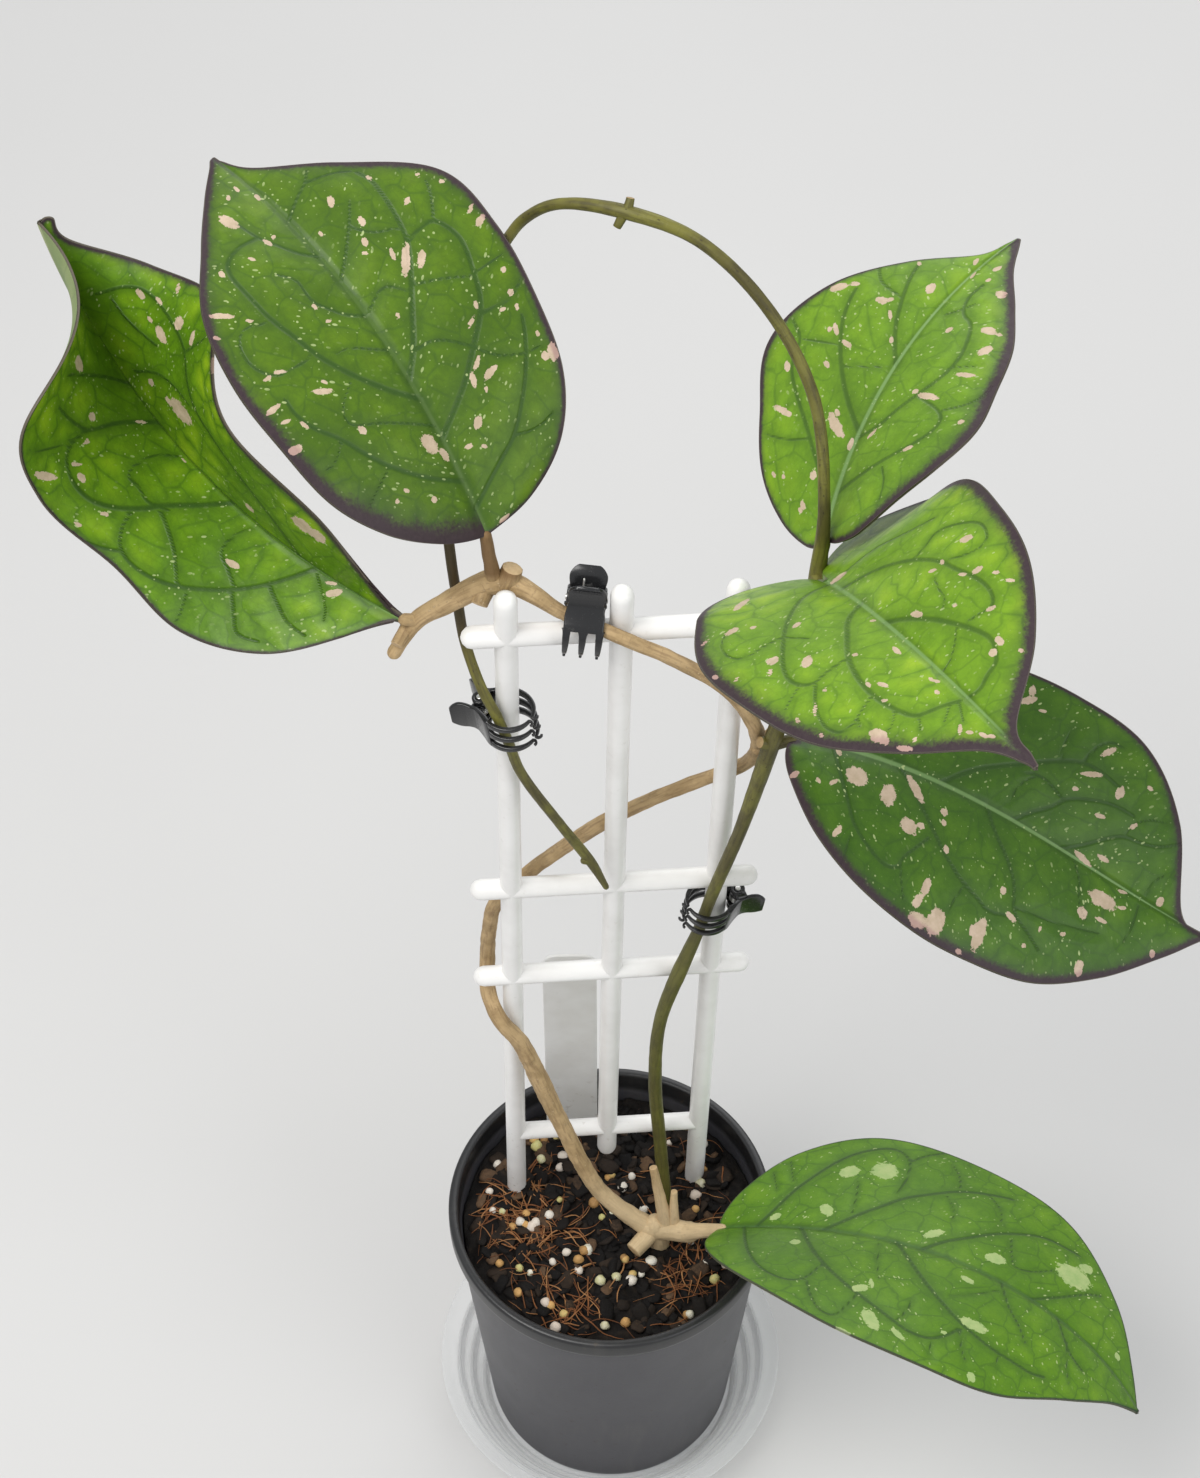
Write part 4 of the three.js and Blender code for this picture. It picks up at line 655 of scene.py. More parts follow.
def addLeaf(name, leaf, look, top, under):
    points, along, across, t, s = leafSurface(leaf)
    rows, wide = points.shape[:2]
    du = np.gradient(points, axis=0)
    dv = np.gradient(points, axis=1)
    normal = np.cross(du, dv)
    normal /= np.linalg.norm(normal, axis=-1)[..., None] + 1e-12
    rim = marginDistance(points)
    share = np.abs(s) * np.ones((rows, 1))
    ribs = np.exp(-(across / 1.3) ** 2) * np.clip(1.15 - t, 0, 1)
    thick = (leafGrid["middle"] + (leafGrid["edge"] - leafGrid["middle"]) * share ** 2) / 2
    swing = np.sin(along / look["waveLength"] + 2.2 * np.sign(s) + look["seed"])
    wave = look["wave"] * np.clip(share - 0.55, 0, 1) ** 1.5 * swing
    centre = points + normal * wave[..., None]
    upper = centre + normal * thick[..., None]
    lower = centre - normal * (thick + 0.35 * ribs)[..., None]
    count = rows * wide
    loop = ([(r, wide - 1) for r in range(rows)] + [(rows - 1, c) for c in range(wide - 2, -1, -1)]
            + [(r, 0) for r in range(rows - 2, -1, -1)] + [(0, c) for c in range(1, wide - 1)])
    inner = {0: 1, wide - 1: wide - 2}
    ringPoints = []
    for r, c in loop:
        inward = centre[min(max(r, 1), rows - 2), inner.get(c, c)] - centre[r, c]
        inward /= np.linalg.norm(inward) + 1e-9
        ringPoints.append(centre[r, c] - inward * thick[r, c] * 0.8)
    place = np.stack([along, across, rim], -1).reshape(-1, 3)
    rimLeft, rimRight = spread(t[:, 0], look["rimLeft"]), spread(t[:, 0], look["rimRight"])
    rimWidth = np.where(s >= 0, rimLeft[:, None], rimRight[:, None]).reshape(-1)
    veinAway = veinDistance(along, across, leafVeins[name]).reshape(-1)
    spots = np.full((rows, wide), -1.0)
    for x, y, long, broad, lean in leafFlecks[name]:
        a = math.radians(lean)
        dx, dy = along - x, across - y
        far = np.hypot((dx * math.cos(a) + dy * math.sin(a)) / long,
                       (-dx * math.sin(a) + dy * math.cos(a)) / broad)
        spots = np.maximum(spots, 1 - far)
    spots = spots.reshape(-1)
    loopIndex = np.array([r * wide + c for r, c in loop])
    faces, kinds = [], []
    for r in range(rows - 1):
        for c in range(wide - 1):
            a = r * wide + c
            faces.append((a, a + wide, a + wide + 1, a + 1))
            kinds.append(0)
            faces.append((a + count, a + count + 1, a + count + wide + 1, a + count + wide))
            kinds.append(1)
    size = len(loop)
    for k in range(size):
        n = (k + 1) % size
        a, b = loopIndex[k], loopIndex[n]
        faces.append((a, 2 * count + k, 2 * count + n, b))
        faces.append((2 * count + k, a + count, b + count, 2 * count + n))
        kinds += [0, 0]
    allPoints = np.vstack([upper.reshape(-1, 3), lower.reshape(-1, 3), ringPoints])
    attributes = {
        "leafPlace": np.vstack([place, place, place[loopIndex] * (1, 1, 0)]),
        "rimWidth": np.concatenate([rimWidth, rimWidth, rimWidth[loopIndex]]),
        "spotField": np.concatenate([spots, spots, spots[loopIndex]]),
        "veinAway": np.concatenate([veinAway, veinAway, veinAway[loopIndex]]),
    }
    title = name.replace("leaf", "blade")
    made = addMesh(title, allPoints, faces, [top, under], [name], attributes, kinds)
    bm = bmesh.new()
    bm.from_mesh(made.data)
    if bm.calc_volume(signed=True) < 0:
        bmesh.ops.reverse_faces(bm, faces=bm.faces)
        bm.to_mesh(made.data)
    bm.free()
    return made


def leafPaint(name, look):
    paint = Paint(name, Specular_IOR_Level=0.27)
    along, across, rim = paint.attribute("leafPlace").split()
    out = abs(across)
    seed = look["seed"]
    draw = paint.vector(along + seed * 57.0, across)
    sway = paint.grain(draw, 0.13, 2.0) - 0.5
    # traced veins, with a soft darker band beside them, and the finest net between
    away = paint.number("veinAway")
    core = away.step(0.6, 0.12)
    halo = away.step(2.6, 0.3)
    warp = paint.vector(along + sway * 7.0 + seed * 31.0, across + sway * 5.0)
    netAway = paint.cells(warp, 0.125, "DISTANCE_TO_EDGE", "Distance", 0.95, True) * 8.0
    net = netAway.step(0.5, 0.05) * away.step(0.4, 2.2) * 0.42
    fineAway = paint.cells(warp, 0.42, "DISTANCE_TO_EDGE", "Distance", 1.0, True) * 2.4
    fine = fineAway.step(0.3, 0.03) * 0.13
    # blade colour: mottled green, lighter and yellower in the middle of each field
    mottle = paint.grain(draw, 0.3, 5.0, 0.65)
    cloud = paint.grain(paint.moved(draw, (13.0, 7.0, 0.0)), 0.045, 2.0)
    glow = (away / 7.0).least(1.0) * (netAway / 3.0).least(1.0) * cloud.step(0.36, 0.62) * look["yellow"]
    green = paint.mix(mottle.step(0.34, 0.68) * 0.6, look["green"], look["greenDark"])
    green = paint.mix(cloud.step(0.6, 0.36) * look["shade"], green, look["greenDark"])
    green = paint.mix(glow, green, look["greenYellow"])
    green = paint.mix(halo * 0.4 * look["veinDepth"], green, look["vein"])
    green = paint.mix(net.most(fine) * look["veinDepth"], green, look["vein"])
    green = paint.mix(core * look["veinDepth"], green, look["vein"])
    # the midrib
    ribWidth = 1.15 - along / look["length"] * 0.75
    green = paint.mix((out / ribWidth).step(2.4, 0.7) * 0.55 * look["veinDepth"], green, look["vein"])
    green = paint.mix((out / ribWidth).step(0.95, 0.3) * look["ribShow"], green, look["rib"])
    # tiny pale flecks in drifts, and the larger ragged ones
    lean = paint.vector((along - out * 0.7) * 1.5 + seed * 41.0, (out + along * 0.5) * 0.75)
    crowd = paint.grain(draw, 0.11, 2.0, 0.6).step(0.44, 0.6)
    dotSize = paint.cells(draw, 0.62, "F1", "Color", 1.0, True).split()
    dots = (dotSize[1] * 0.14 + 0.05 - paint.cells(draw, 0.62, "F1", "Distance", 1.0, True)).step(0.0, 0.04)
    dots = dots * dotSize[0].math("GREATER_THAN", 1 - look["dots"])
    dashSize = paint.cells(lean, 0.42, "F1", "Color", 1.0, True).split()
    dashes = (dashSize[1] * 0.2 + 0.04 - paint.cells(lean, 0.42, "F1", "Distance", 1.0, True)).step(0.0, 0.05)
    dashes = dashes * dashSize[0].math("GREATER_THAN", 1 - look["dots"] * 0.8)
    ragged = paint.grain(draw, 0.75, 4.0, 0.7) - 0.5
    holes = paint.grain(paint.moved(draw, (5.0, 9.0, 0.0)), 1.1, 2.0, 0.6)
    spot = paint.number("spotField")
    patches = (spot + ragged * 1.15).step(0.02, 0.12) * (holes - spot * 0.25).step(0.68, 0.58)
    spray = (spot + 1.3).least(1.0).clamp()
    small = dots.most(dashes) * (crowd * 0.75 + spray.step(0.2, 0.7)).clamp()
    green = paint.mix(small * 0.8, green, look["dot"])
    beige = paint.mix(mottle.step(0.3, 0.7), look["beige"], look["beigeDark"])
    # dark margin that breaks up inwards, with pinkish flecks in it and a hair of pale edge
    edgeNoise = paint.grain(draw, 0.2, 3.0, 0.6)
    speckle = paint.grain(draw, 1.1, 4.0, 0.75)
    depth = paint.number("rimWidth") * (0.5 + edgeNoise)
    dark = (rim / depth + (speckle - 0.5) * 1.3).step(1.35, 0.45)
    haze = (rim / (depth * 2.8)).step(1.0, 0.1) * 0.6
    green = paint.mix(haze, green, look["rimHaze"])
    green = paint.mix(dark * look["rimShow"], green, paint.mix(speckle, look["rimDark"], look["rimLight"]))
    pinkish = (rim / (depth * 1.5)).step(1.0, 0.6)
    green = paint.mix(patches * 0.94, green, paint.mix(pinkish * 0.6, beige, look["pink"]))
    green = paint.mix(rim.step(0.2, 0.03) * 0.45, green, look["edge"])
    paint.set("Base Color", green)
    paint.set("Roughness", look["gloss"] + mottle * 0.14 + patches * 0.14 + dark * 0.08)
    quilt = (away / 5.0).least(1.0) * 0.5 + (netAway / 2.5).least(1.0) * 0.12
    lift = quilt - core * 0.25 - (out / ribWidth).step(2.6, 0.5) * 0.45 + mottle * 0.1 - patches * 0.05
    paint.bump(lift, 0.75, 0.0007)
    return paint.material


def leafUnderPaint(name):
    paint = Paint(name, Specular_IOR_Level=0.35)
    along, across, rim = paint.attribute("leafPlace").split()
    out = abs(across)
    draw = paint.vector(along, across)
    cloud = paint.grain(draw, 0.06, 3.0)
    veinAway = paint.number("veinAway")
    net = paint.cells(draw, 0.09, "DISTANCE_TO_EDGE", "Distance", 0.9, True).step(0.05, 0.01) * 0.35
    colour = paint.mix(cloud.step(0.35, 0.65), (0.16, 0.23, 0.075), (0.24, 0.3, 0.12))
    colour = paint.mix(veinAway.step(0.7, 0.1).most(net) * 0.5, colour, (0.09, 0.15, 0.05))
    colour = paint.mix(out.step(1.3, 0.5) * 0.8, colour, (0.34, 0.38, 0.2))
    edge = (rim / (paint.number("rimWidth") * (0.4 + paint.grain(draw, 0.2)))).step(1.2, 0.4)
    colour = paint.mix(edge, colour, (0.03, 0.014, 0.016))
    paint.set("Base Color", colour)
    paint.set("Roughness", 0.5 + cloud * 0.2)
    ribs = out.step(2.0, 0.4) * 0.8 + veinAway.step(1.2, 0.2) * 0.4
    paint.bump(ribs + paint.grain(draw, 1.4, 3.0) * 0.08, 0.6, 0.0006)
    return paint.material


leafCommon = {
    "green": (0.105, 0.23, 0.008), "greenDark": (0.052, 0.13, 0.004), "greenYellow": (0.21, 0.36, 0.012),
    "vein": (0.028, 0.072, 0.01), "veinDepth": 0.8, "rib": (0.2, 0.33, 0.12), "ribShow": 0.6, "shade": 0.3,
    "dot": (0.42, 0.5, 0.22), "dots": 0.34, "beige": (0.6, 0.46, 0.35), "beigeDark": (0.47, 0.36, 0.25),
    "pink": (0.36, 0.19, 0.2), "rimDark": (0.022, 0.014, 0.017), "rimLight": (0.06, 0.038, 0.045),
    "rimShow": 1.0,
    "rimHaze": (0.03, 0.055, 0.02), "edge": (0.2, 0.18, 0.12), "gloss": 0.34, "yellow": 0.8,
    "wave": 0.8, "waveLength": 6.5, "seed": 0.0,
}
# rimLeft and rimRight give the width of the dark margin from the leaf's base to its tip
leafLooks = {
    "leaf_top_left": {
        "seed": 1.0, "rimLeft": (3.4, 4.2, 3.2, 2.0, 1.6, 1.4, 0.6),
        "rimRight": (0.5, 0.9, 1.2, 1.3, 1.8, 0.4, 0.3),
        "rib": (0.09, 0.15, 0.04), "ribShow": 0.45, "yellow": 0.35, "shade": 0.45,
        "green": (0.086, 0.172, 0.006), "greenDark": (0.044, 0.098, 0.004), "greenYellow": (0.17, 0.27, 0.01)},
    "leaf_far_left": {
        "seed": 2.0, "rimLeft": (0.3, 0.5, 0.6, 0.6, 0.4, 0.12, 0.1),
        "rimRight": (1.2, 1.6, 1.6, 1.2, 0.9, 1.0, 0.8),
        "green": (0.12, 0.255, 0.008), "greenYellow": (0.26, 0.42, 0.012), "yellow": 0.95},
    "leaf_top_right": {
        "seed": 3.0, "rimLeft": (0.6, 0.7, 0.8, 1.4, 0.5, 0.3, 0.2),
        "rimRight": (0.8, 1.8, 2.6, 2.6, 2.0, 1.6, 2.0),
        "green": (0.15, 0.295, 0.014), "greenDark": (0.078, 0.175, 0.008), "veinDepth": 0.6, "ribShow": 0.75},
    # painted light: leaf_front_right gets lighter greens than the other leaves, standing in for its blade
    # facing up to the light
    "leaf_front_right": {
        "seed": 4.0, "rimLeft": (0.15, 0.15, 1.6, 2.6, 2.2, 2.2, 2.2, 2.0, 1.0),
        "rimRight": (0.15, 0.3, 1.6, 2.4, 2.6, 2.6, 2.4, 2.2, 1.1), "green": (0.17, 0.325, 0.014),
        "greenDark": (0.096, 0.21, 0.008), "greenYellow": (0.29, 0.45, 0.018),
        "veinDepth": 0.62, "yellow": 0.9},
    # painted shade: leaf_low_right gets darker greens than the other leaves, standing in for the shadow of
    # leaf_front_right above it
    "leaf_low_right": {
        # partly painted shade: towards the tip the left dark margin widens to 1.4-1.8 mm over a shaded part of
        # the blade, so there it is partly the margin's colour and partly painted shade
        "seed": 5.0, "rimLeft": (0.4, 0.4, 0.5, 0.5, 0.7, 1.0, 1.4, 1.8, 0.8),
        "rimRight": (1.0, 1.8, 2.2, 2.2, 2.2, 2.0, 1.8, 1.4, 0.8), "green": (0.062, 0.15, 0.008),
        "greenDark": (0.031, 0.092, 0.005), "greenYellow": (0.11, 0.22, 0.01), "ribShow": 0.7, "yellow": 0.5},
    "leaf_base_right": {
        "seed": 6.0, "rimLeft": (0.25, 0.3, 0.3, 0.4, 0.5), "rimRight": (0.25, 0.3, 0.3, 0.4, 0.5),
        "rimDark": (0.01, 0.03, 0.012), "rimLight": (0.02, 0.05, 0.02), "rib": (0.05, 0.13, 0.035),
        "ribShow": 0.3,
        "green": (0.094, 0.216, 0.006), "greenDark": (0.055, 0.145, 0.005), "greenYellow": (0.155, 0.3, 0.008),
        "beige": (0.4, 0.48, 0.2), "beigeDark": (0.3, 0.42, 0.15), "pink": (0.3, 0.36, 0.2),
        "dots": 0.2, "yellow": 0.6},
}
underPaint = leafUnderPaint("leafUnderside")
for name, leaf in leafShapes.items():
    look = {**leafCommon, "length": float(leaf["length"]), **leafLooks[name]}
    addLeaf(name, leaf, look, leafPaint(name.replace("leaf", "bladeTop"), look), underPaint)
print("leaves made")

# Stems: the routes and small growths of the part's source, with bark, swellings and cut faces
oldStem = {
    "route": [
        (11, -6, 95, 3), (4.5, -5, 101, 2.5), (-3, -3, 110, 2.3), (-13.5, -1, 142.5, 2.3),
        (-18.5, -0.5, 161.5, 2.6), (-23.5, -0.5, 180, 2.2), (-28.4, -0.3, 190, 2.1), (-31.2, 4.8, 195, 2),
        (-31.3, 10.5, 201, 2), (-30.5, 10, 214.5, 1.9), (-28, 8, 230, 1.9), (-19.5, 7.5, 243, 1.8),
        (-2.5, 7.2, 262, 1.9), (9.5, 7.2, 271.5, 1.7), (21.5, 7.7, 278.5, 1.7), (31, 5.5, 287, 1.7),
        (34, -2.5, 305, 1.9), (30.5, -7, 322, 1.7), (24.5, -9, 333.5, 1.6), (13, -10.2, 344.5, 1.6),
        (6.5, -10.1, 348.5, 1.6), (2.5, -10.2, 351.2, 1.6), (-1.5, -8.6, 352.1, 1.6), (-5.5, -6.9, 352.5, 1.6),
        (-11, -5.3, 354.5, 1.6), (-15.5, -4.1, 357.6, 1.8), (-20, -2.4, 359.5, 2.5),
        (-25, -1.2, 359.5, 3), (-35, -2, 354, 2.4), (-42.5, -3, 348.5, 2), (-47.5, -5, 340.5, 1.5),
    ],
    # from, to, start radius, end radius, whether the end is a cut face
    "growths": [
        ((12.5, -6.5, 74), (12.5, -6.5, 97), 3.4, 3.2, 0), ((12, -6.5, 95), (6.5, -12.5, 93.5), 2.9, 2.4, 1),
        ((11, -6.5, 96), (22, -8.5, 96.5), 3.2, 3, 0), ((15.5, -6.5, 97), (11.8, -1.5, 119), 2.3, 1.1, 1),
        ((17.5, -6.5, 97), (17.6, -3.6, 110), 1.9, 0.9, 1), ((20.5, -8.5, 96.5),
         (30.6, -12.4, 104.3), 2.8, 1.6, 0),
        ((34, -3, 304), (37.3, -2.2, 309), 1.9, 1.5, 1), ((-27, -2, 358), (-28.3, -4.6, 356), 2.2, 1.8, 1),
        ((-22.4, -2, 360), (-21, -1.3, 363.8), 2.7, 2.4, 1), ((-25, -1.2, 360),
         (-26.4, -2.3, 375.7), 1.9, 1.3, 0),
        ((-42, -3, 349), (-44.8, -4, 350.4), 1.7, 1.4, 0), ((-44.5, -3.5, 347),
         (-46.6, -7, 345.5), 1.6, 1.4, 1),
    ],
    "sides": 20, "step": 0.9, "rough": 0.09,
}
greenStem = {
    "route": [
        (15.6, 3.2, 74, 2), (15.4, 3, 92, 1.9), (14, 6, 116, 1.8), (12, 4.5, 153.5, 1.8),
        (13, 2, 185.5, 1.7), (17.5, 0.6, 209.5, 2), (22, 1.3, 226.5, 1.5), (24, 0.55, 238, 1.5),
        (26, -2.2, 251.5, 1.6), (30.5, -4.5, 274, 1.6), (36.5, -7.8, 311.5, 2.1), (41.5, -8.5, 341.5, 1.6),
        (44.2, -6.1, 366.7, 1.9), (44.9, -3, 385.5, 1.3), (42.5, 10, 403.5, 1.3), (33, 22, 417.5, 1.3),
        (18.5, 31, 428.5, 1.3), (3.5, 36, 432, 1.6), (-10, 42, 429, 1.2), (-17, 46, 422, 1.2),
        (-22, 48.8, 412.3, 1.2), (-29.5, 45.8, 396.5, 1.2), (-34.5, 34, 379.5, 1.2), (-36, 20, 367.5, 1.2),
        (-35, 9, 360, 1.2), (-33.5, 2.5, 350, 1.2), (-32, -1, 339, 1.2), (-28.6, -6.8, 330.5, 1.2),
        (-25.5, -8.9, 323.5, 1.2), (-23, -9.3, 314.5, 1.2), (-20.5, -8.8, 303, 1.2), (-11.5, -6, 279, 1.2),
        (-4.5, -4.6, 262.5, 1.3), (-1, -4.4, 252.5, 0.7),
    ],
    "growths": [
        ((36.5, -7.8, 311.5), (41.3, -7.7, 312.7), 1.8, 1.3, 0), ((36.3, -7.8, 311.5),
         (33.8, -8.8, 313.2), 1.9, 1.4, 1),
        ((44.3, -6.1, 367), (45.8, -3.9, 374.2), 1.6, 1, 0), ((44.2, -6.1, 366.8),
         (45.2, -11.9, 367.5), 1.8, 1.5, 0),
        ((45.2, -11.5, 367), (45.6, -16.7, 372.9), 1.5, 1.2, 0), ((3.5, 36, 432),
         (4.4, 37.4, 434.6), 1.2, 0.9, 1),
        ((3, 36, 431.6), (1.6, 34.6, 429.2), 1.2, 0.9, 1), ((-5, -4.7, 263.6),
         (-6.2, -5.6, 264.6), 1.2, 0.9, 0),
    ],
    "sides": 18, "step": 0.9, "rough": 0.03,
}


def addStem(name, stem, node, material):
    line, radius, along = smoothRoute(stem["route"], stem["step"])
    shapes = [tubeShape(line, radius, along, stem["sides"], 1, stem["rough"])]
    for k, (start, end, first, last, cut) in enumerate(stem["growths"]):
        start, end = Vector(start), Vector(end)
        steps = max(int((end - start).length / 0.7), 4)
        bow = Vector((noise.noise(start), noise.noise(end), 0)) * 0.06 * (end - start).length
        pieceLine = [start.lerp(end, i / steps) + bow * math.sin(math.pi * i / steps) for i in range(steps + 1)]
        pieceRadius = [first + (last - first) * (i / steps) ** 0.8 for i in range(steps + 1)]
        pieceAlong = np.linspace(0, (end - start).length, steps + 1)
        shapes.append(tubeShape(pieceLine, pieceRadius, pieceAlong, 14, k + 3, stem["rough"], 0.0, float(cut)))
    points, faces, attributes = joinShapes(shapes)
    return addMesh(name, points, faces, [material], [node], attributes)


def stemPaint(name, look):
    paint = Paint(name, Specular_IOR_Level=0.35)
    place = paint.attribute("stemPlace")
    spot = paint.place()
    long = paint.grain(paint.stretched(place, 1.4, 1.4, 0.16), 1.0, 4.0, 0.6)
    bands = paint.grain(paint.stretched(place, 0.5, 0.5, 1.9), 1.0, 3.0, 0.6)
    blot = paint.grain(spot, look["blotScale"], 3.0, 0.6)
    pores = paint.cells(paint.stretched(place, 1.5, 1.5, 0.75), 1.0, "F1", "Distance", 1.0)
    poreSize = paint.cells(paint.stretched(place, 1.5, 1.5, 0.75), 1.0, "F1", "Color", 1.0).split()
    pore = (poreSize[0] * 0.34 - pores).step(0.0, 0.06) * poreSize[1].math("GREATER_THAN", 1 - look["pores"])
    colour = paint.mix(blot.step(0.38, 0.64), look["main"], look["second"])
    colour = paint.mix(long.step(0.42, 0.68) * 0.55, colour, look["dark"])
    colour = paint.mix(bands.step(0.58, 0.74) * look["bands"], colour, look["dark"])
    colour = paint.mix(pore * 0.7, colour, look["poreColour"])
    for low, high, axis, tint, share in look["zones"]:
        colour = paint.mix(spot.split()[axis].step(low, high) * share, colour, tint)
    corner = spot.split()[0].step(-0.019, -0.025) * spot.split()[2].step(*look["cornerHeight"])
    colour = paint.mix(corner * look["cornerShare"], colour, paint.mix(long, look["corner"], look["dark"]))
    cut = paint.number("cutFace")
    ringed = paint.grain(spot, 900.0, 3.0)
    colour = paint.mix(cut.step(0.35, 0.65), colour, paint.mix(ringed, look["cut"], look["cutDark"]))
    paint.set("Base Color", colour)
    paint.set("Roughness", look["gloss"] + long * 0.2)
    paint.bump(long * 0.5 + bands * 0.35 + pore * 0.5, look["relief"], 0.0005)
    return paint.material


oldStemPaint = stemPaint("oldBark", {
    "main": (0.5, 0.35, 0.18), "second": (0.38, 0.26, 0.125), "dark": (0.2, 0.125, 0.06), "bands": 0.5,
    "zones": ((0.125, 0.1, 2, (0.66, 0.52, 0.32), 0.55), (0.3615, 0.3645, 2, (0.16, 0.085, 0.03), 0.85)),
    "corner": (0.62, 0.5, 0.3), "cornerHeight": (0.3645, 0.3615), "cornerShare": 0.0,
    "poreColour": (0.52, 0.38, 0.22), "pores": 0.55, "blotScale": 160.0, "gloss": 0.55, "relief": 0.9,
    "cut": (0.62, 0.46, 0.26), "cutDark": (0.4, 0.26, 0.13)})
greenStemPaint = stemPaint("greenBark", {
    "main": (0.17, 0.16, 0.03), "second": (0.09, 0.078, 0.02), "dark": (0.04, 0.032, 0.014), "bands": 0.3,
    "zones": ((0.255, 0.225, 2, (0.075, 0.075, 0.018), 0.5),),
    "corner": (0.075, 0.042, 0.02), "cornerHeight": (0.33, 0.345), "cornerShare": 0.85,
    "poreColour": (0.04, 0.03, 0.015), "pores": 0.4, "blotScale": 70.0, "gloss": 0.42, "relief": 0.5,
    "cut": (0.45, 0.32, 0.15), "cutDark": (0.24, 0.15, 0.07)})
addStem("oldVine", oldStem, "stem_old", oldStemPaint)
addStem("greenVine", greenStem, "stem_green", greenStemPaint)
print("stems made")

# Pot and saucer, turned from rounded profiles
potLook = {"stand": 1.7, "height": 96.3, "rim": 45, "lipDepth": 6.5, "base": 35.4, "wall": 1.4, "step": 1.4}


def potWall(height):
    return potLook["base"] + (potLook["rim"] - potLook["step"] - potLook["base"]) * height / potLook["height"]


def makePot():
    p, lip = potLook, potLook["height"] - potLook["lipDepth"]
    corners = [
        (4, 2.2, 0), (p["base"] - 4, 2.2, 0.6), (p["base"] - 3.4, 0, 0.5), (p["base"] - 0.6, 0, 0.8),
         (potWall(2) - 0.1, 2, 0.8),
        (potWall(lip), lip, 0.5), (p["rim"] - 0.4, lip + 0.4, 0.4), (p["rim"], lip + 1.6, 0.8),
        (p["rim"], p["height"], 1.2), (p["rim"] - 2.6, p["height"], 1.0), (p["rim"] - 2.8, lip + 1, 0.8),
        (potWall(lip) - p["wall"], lip - 1, 0.6), (potWall(6) - p["wall"], 6, 1.5),
         (potWall(4) - p["wall"] - 2, 4, 0.8), (4, 4, 0),
    ]
    points, faces = lathe(roundedProfile(corners), 128)
    points[:, 2] += p["stand"]
    made = addMesh("nurseryPot", points, faces, [potPaint()], ["pot"])
    cutters = bmesh.new()
    for i in range(8):
        a = 2 * math.pi * (i + 0.5) / 8
        place = Matrix.Translation((0.025 * math.cos(a), 0.025 * math.sin(a), 0.004))
        bmesh.ops.create_cone(cutters, cap_ends=True, segments=24,
                              radius1=0.0032, radius2=0.0032, depth=0.012, matrix=place)
    middle = bmesh.ops.create_cone(cutters, cap_ends=True, segments=24,
                                   radius1=0.0036, radius2=0.0036, depth=0.012)
    bmesh.ops.delete(cutters, geom=middle["verts"], context="VERTS")
    cutMesh = bpy.data.meshes.new("drainHoles")
    cutters.to_mesh(cutMesh)
    cutters.free()
    tool = bpy.data.objects.new("drainHoles", cutMesh)
    bpy.context.scene.collection.objects.link(tool)
    modifier = made.modifiers.new("drain", "BOOLEAN")
    modifier.operation, modifier.object, modifier.solver = "DIFFERENCE", tool, "EXACT"
    applyModifiers(made)
    bpy.data.objects.remove(tool)
    return made


def applyModifiers(made):
    bpy.context.view_layer.update()
    ready = made.evaluated_get(bpy.context.evaluated_depsgraph_get())
    fresh = bpy.data.meshes.new_from_object(ready)
    made.modifiers.clear()
    made.data = fresh


def potPaint():
    paint = Paint("potPlastic", Specular_IOR_Level=0.5)
    spot = paint.place()
    fine = paint.grain(spot, 1400.0, 3.0, 0.6)
    cloud = paint.grain(spot, 45.0, 4.0, 0.6)
    high = spot.split()[2]
    streak = paint.grain(paint.stretched(spot, 1.0, 1.0, 0.12), 260.0, 3.0, 0.6)
    dust = (cloud * 0.6 + streak * 0.4).step(0.5, 0.66) * 0.3
    rim = high.step(0.0905, 0.0925)
    colour = paint.mix(rim, (0.046, 0.045, 0.052), (0.015, 0.015, 0.016))
    colour = paint.mix(dust * (1 - rim * 0.5), colour, (0.1, 0.095, 0.088))
    soiled = paint.grain(spot, 420.0, 3.0, 0.65).step(0.66, 0.72) * 0.5
    colour = paint.mix(soiled, colour, (0.07, 0.052, 0.036))
    paint.set("Base Color", colour)
    paint.set("Roughness", 0.36 + cloud * 0.16 - rim * 0.1 + soiled * 0.2)
    paint.bump(fine * 0.4 + streak * 0.12, 0.25, 0.0003)
    return paint.material


makePot()


def saucerPaint():
    paint = Paint("clearPlastic", Specular_IOR_Level=0.6, IOR=1.46)
    spot = paint.place()
    cloud = paint.grain(spot, 38.0, 3.0, 0.6)
    scuff = paint.grain(paint.stretched(spot, 1.0, 1.0, 3.0), 700.0, 2.0, 0.6)
    stain = paint.grain(spot, 90.0, 4.0, 0.65).step(0.58, 0.7)
    paint.set("Base Color", paint.mix(stain * 0.25, (0.86, 0.88, 0.89), (0.62, 0.58, 0.5)))
    facing = paint.node("LayerWeight", {}, {"Blend": 0.35}, 1)
    paint.set("Alpha", (0.11 + facing * 0.5 + stain * 0.03).clamp())
    paint.set("Roughness", 0.05 + cloud * 0.08 + scuff.step(0.62, 0.75) * 0.08)
    paint.bump(cloud * 0.5 + scuff * 0.1, 0.12, 0.0004)
    return paint.material


saucerLook = {"floor": 1.3, "wall": 1.1, "foot": 37, "lip": 50.2, "height": 13.8}


